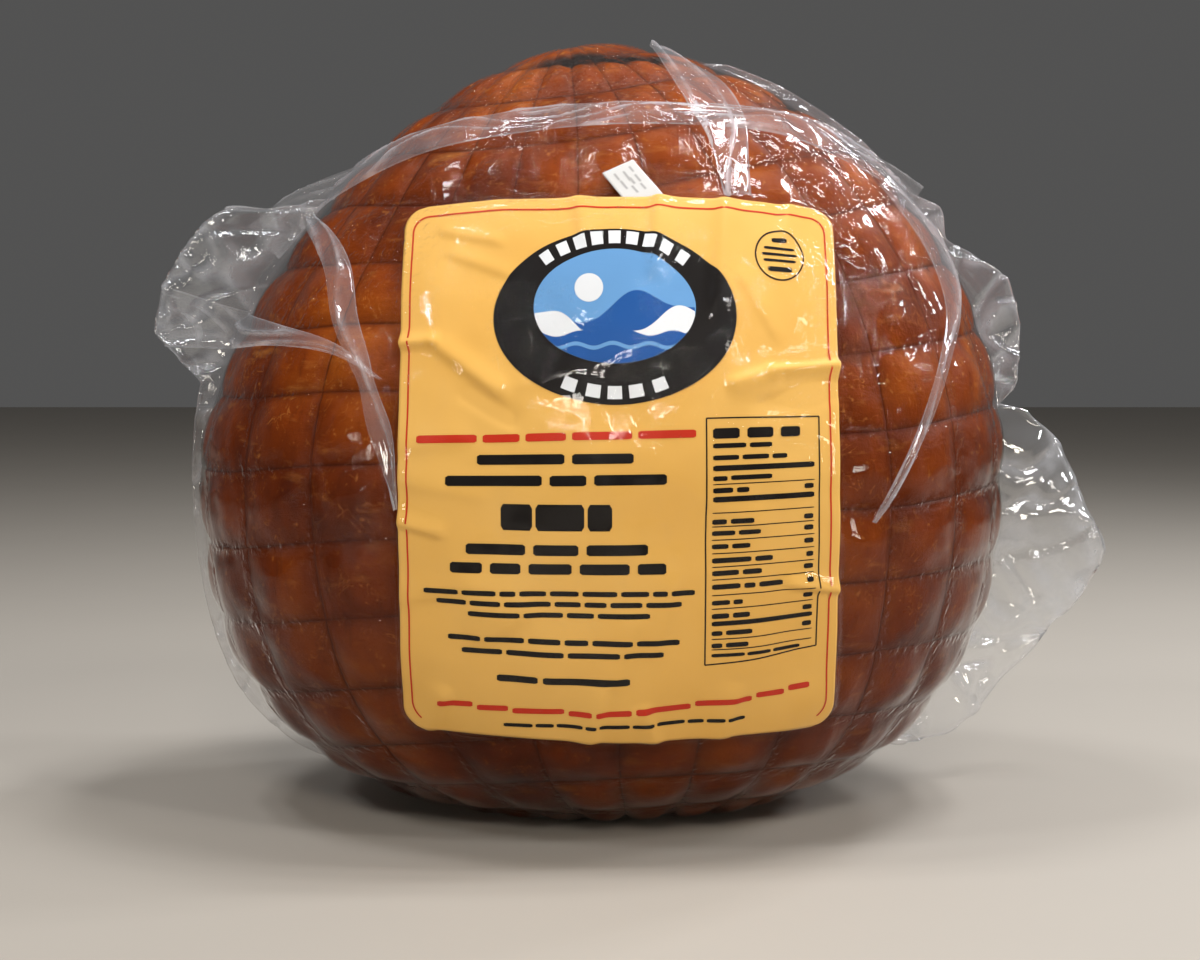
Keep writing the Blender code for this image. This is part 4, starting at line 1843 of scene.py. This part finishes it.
@dataclass(frozen=True)
class Bag:
    """All the film of the bag."""

    ham: HamForm
    marks: NetMarks
    label: LabelForm
    fins: tuple[SlackFin, ...] = (
        SlackFin("film_left_ear", (
            (133, -0.002), (138, 0.006), (141, 0.011), (145, 0.0225), (151, 0.0272), (157, 0.028),
            (163, 0.0252), (165.5, 0.015), (168, 0.0065), (178, 0.004), (198, 0.0042), (212, 0.0055),
            (222, 0.0045), (236, -0.002),
        ), 0.002, -0.006, 3.0, 61),
        SlackFin("film_right_ear", (
            (7, -0.002), (12, 0.008), (19, 0.013), (25, 0.0138), (29.5, 0.0083), (33.5, 0.004),
            (37.5, 0.0075), (41.5, 0.0036), (52, 0.0040), (62, 0.0038), (72, 0.0028), (79, -0.002),
        ), 0.004, -0.004, 5.0, 71),
        SlackFin("film_right_flap", (
            (-48, -0.002), (-43, 0.0135), (-37, 0.0215), (-31, 0.025), (-21, 0.0335), (-14.5, 0.0395),
            (-10, 0.043), (-4.5, 0.0355), (2, 0.029), (6.5, 0.0185), (9, 0.0065), (11, -0.002),
        ), 0.024, 0.014, 2.0, 81),
    )
    pleats: tuple[Pleat, ...] = (
        Pleat("film_seam", (
            (-0.098, 0.1630), (-0.086, 0.1735), (-0.069, 0.1815), (-0.049, 0.189), (-0.027, 0.193),
            (0.0, 0.1955), (0.024, 0.1957), (0.047, 0.1945), (0.060, 0.1915), (0.071, 0.187),
            (0.083, 0.1815), (0.092, 0.176),
        ), (0.013, 0.0085, 0.0070, 0.0065, 0.0065, 0.0080, 0.0085, 0.0070), 101, 2.5),
        Pleat("film_crown_fold", (
            (0.015, 0.2195), (0.0225, 0.2100), (0.0295, 0.2015), (0.0335, 0.193), (0.0350, 0.183),
            (0.0362, 0.171),
        ), (0.0020, 0.008, 0.013, 0.012, 0.009, 0.007), 111, 1.5, 0.0008),
        Pleat("film_side_fold", (
            (0.0800, 0.1800), (0.0880, 0.1705), (0.0935, 0.1615), (0.0962, 0.1517), (0.0964, 0.1419),
            (0.0935, 0.1325), (0.0890, 0.1207), (0.0839, 0.1098), (0.0772, 0.0983), (0.0705, 0.0882),
        ), (0.007, 0.009, 0.0078, 0.0052, 0.0036, 0.0030, 0.0019, 0.0003), 121, 1.0),
        Pleat("film_left_spike", (
            (-0.126, 0.141), (-0.108, 0.138), (-0.088, 0.1365), (-0.070, 0.133), (-0.056, 0.125),
        ), (0.017, 0.012, 0.006, 0.003, 0.0005), 131, 2.5, 0.0014),
        Pleat("film_left_drape", (
            (-0.083, 0.1690), (-0.0756, 0.1625), (-0.0701, 0.1540), (-0.0670, 0.1411), (-0.0625, 0.1302),
            (-0.0604, 0.1248), (-0.0577, 0.1165), (-0.0546, 0.1073), (-0.0527, 0.0998), (-0.0508, 0.0925),
        ), (0.004, 0.007, 0.0078, 0.0060, 0.0045, 0.0062, 0.0040, 0.0005), 141, 1.0),
    )

    def build(self) -> list[bpy.types.Object]:
        """Build every piece of film.

        Returns:
            The pieces.
        """
        cling = ClingFilm(self.ham, self.marks, self.label)
        slack = ClearFilm(FilmWeight.SLACK).make()
        folded = ClearFilm(FilmWeight.FOLDED).make()
        pieces = [cling.build()]
        pieces += [fin.build(self.ham, slack) for fin in self.fins]
        pieces += [pleat.build(self.ham, folded, cling) for pleat in self.pleats]
        return pieces


class LampTint(Enum):
    """The lamps' colours, from cool windows to warm low lamps."""

    WINDOW = (0.93, 0.95, 1.0)
    SKY = (0.95, 0.96, 1.0)
    FILL = (1.0, 0.96, 0.92)
    SIDE = (1.0, 0.95, 0.88)
    FRONT = (1.0, 0.94, 0.86)
    LOW = (1.0, 0.92, 0.80)


@dataclass(frozen=True)
class Lamp:
    """A soft studio light aimed at the ham, as one field or as panes with bars between them."""

    name: str
    place: Triple
    size: Pair
    power: float
    tint: LampTint
    panes: tuple[int, int] = (2, 2)
    bar: float = 0.03
    aim: Triple = (0.0, 0.0, 0.10)

    def build(self) -> None:
        """Hang the light."""
        toward = np.array(self.aim) - np.array(self.place)
        toward = toward / np.linalg.norm(toward)
        level = math.hypot(toward[0], toward[1])
        right = np.array([toward[1], -toward[0], 0.0]) / level
        above = np.cross(right, toward)
        columns, rows = self.panes
        width = (self.size[0] - self.bar * (columns - 1)) / columns
        height = (self.size[1] - self.bar * (rows - 1)) / rows
        for column in range(columns):
            for row in range(rows):
                light = bpy.data.lights.new(self.name, "AREA")
                light.shape = "RECTANGLE"
                light.size, light.size_y = width, height
                light.energy = self.power / (columns * rows)
                light.color = self.tint.value
                lamp = bpy.data.objects.new(self.name, light)
                aside = (column - (columns - 1) / 2) * (width + self.bar)
                up = (row - (rows - 1) / 2) * (height + self.bar)
                lamp.location = np.array(self.place) + right * aside + above * up
                lamp.rotation_euler = (math.atan2(level, -toward[2]), 0.0, math.atan2(-toward[0], toward[1]))
                bpy.context.scene.collection.objects.link(lamp)


@dataclass(frozen=True)
class Studio:
    """Pale floor, soft lights and the camera."""

    camera_height: float = 0.141
    camera_distance: float = 0.68
    camera_dip: float = math.radians(4.0)
    clip_start: float = 0.01
    focal_pixels: float = 2310.0
    image_width: float = 1200.0
    sensor: float = 36.0
    world_colour: Colour = (0.66, 0.655, 0.65)
    world_strength: float = 0.13
    floor_size: float = 6.0
    floor_colour: Colour = (0.39, 0.355, 0.305)
    floor_grain: Pattern = Pattern(8.0, 4.0, 0.6)
    floor_dark: float = 0.95
    floor_roughness: float = 0.6
    lamps: tuple[Lamp, ...] = (
        Lamp("right_top", (0.34, -0.02, 1.05), (0.33, 0.25), 7.5, LampTint.SKY, (3, 2), 0.04),
        Lamp("back_window", (0.62, 0.55, 0.80), (0.13, 0.17), 2.8, LampTint.WINDOW),
        Lamp("right_window", (0.92, 0.14, 0.54), (0.12, 0.18), 3.4, LampTint.WINDOW),
        Lamp("left_top", (-0.36, -0.10, 1.02), (0.18, 0.18), 3.2, LampTint.WINDOW),
        Lamp("left_window", (-0.66, -0.50, 0.80), (0.09, 0.13), 2.2, LampTint.SKY),
        Lamp("front_window", (0.50, -0.68, 0.78), (0.07, 0.10), 1.6, LampTint.WINDOW, bar=0.02),
        Lamp("right_key", (0.80, -0.80, 0.85), (0.26, 0.26), 2.8, LampTint.SIDE, bar=0.04),
        Lamp("front_key", (0.0, -1.20, 0.75), (0.30, 0.22), 5.8, LampTint.FRONT, bar=0.04),
        Lamp("low_left", (-1.15, -0.85, 0.25), (0.22, 0.22), 2.3, LampTint.LOW, bar=0.04),
        Lamp("low_right", (1.22, -0.82, 0.25), (0.22, 0.22), 3.0, LampTint.LOW, bar=0.04),
        Lamp("back_fill", (-0.30, 0.60, 2.10), (1.40, 1.00), 2.5, LampTint.FILL, (1, 1)),
    )

    def floor(self) -> None:
        """A plain pale floor with faint grain."""
        half = self.floor_size / 2
        corners = [(-half, -half, 0), (half, -half, 0), (half, half, 0), (-half, half, 0)]
        mesh = bpy.data.meshes.new("floor")
        mesh.from_pydata(corners, [], [(0, 1, 2, 3)])
        bench = Bench("pale_floor")
        dark = tuple(self.floor_dark * part for part in self.floor_colour)
        mesh.materials.append(bench.done(bench.node("ShaderNodeBsdfPrincipled", {
            "Base Color": bench.blend(bench.noise(self.floor_grain), self.floor_colour, dark),
            "Roughness": self.floor_roughness,
        })))
        floor = bpy.data.objects.new("floor", mesh)
        bpy.context.scene.collection.objects.link(floor)

    def camera(self) -> None:
        """A camera at the photo's viewing angle."""
        data = bpy.data.cameras.new("camera")
        data.sensor_width = self.sensor
        data.lens = self.focal_pixels / self.image_width * self.sensor
        data.clip_start = self.clip_start
        camera = bpy.data.objects.new("camera", data)
        camera.location = (0.0, -self.camera_distance, self.camera_height)
        camera.rotation_euler = (math.pi / 2 - self.camera_dip, 0.0, 0.0)
        bpy.context.scene.collection.objects.link(camera)
        bpy.context.scene.camera = camera

    def build(self) -> None:
        """Set the studio up."""
        world = bpy.data.worlds.new("studio")
        world.use_nodes = True
        background = world.node_tree.nodes["Background"].inputs
        background["Color"].default_value = (*self.world_colour, 1.0)
        background["Strength"].default_value = self.world_strength
        bpy.context.scene.world = world
        bpy.context.scene.view_settings.view_transform = "Standard"
        self.floor()
        self.camera()
        for lamp in self.lamps:
            lamp.build()


def main() -> None:
    """Build the studio and every piece."""
    logging.basicConfig(level=logging.INFO, format="%(message)s")
    Studio().build()
    ham = HamForm()
    marks = NetMarks(ham)
    label = LabelForm(ham)
    Meat(ham, marks).build()
    LabelPaper(label).build()
    LabelDesign(label).build()
    DateSticker(ham).build()
    Bag(ham, marks, label).build()


if __name__ == "__main__":
    main()
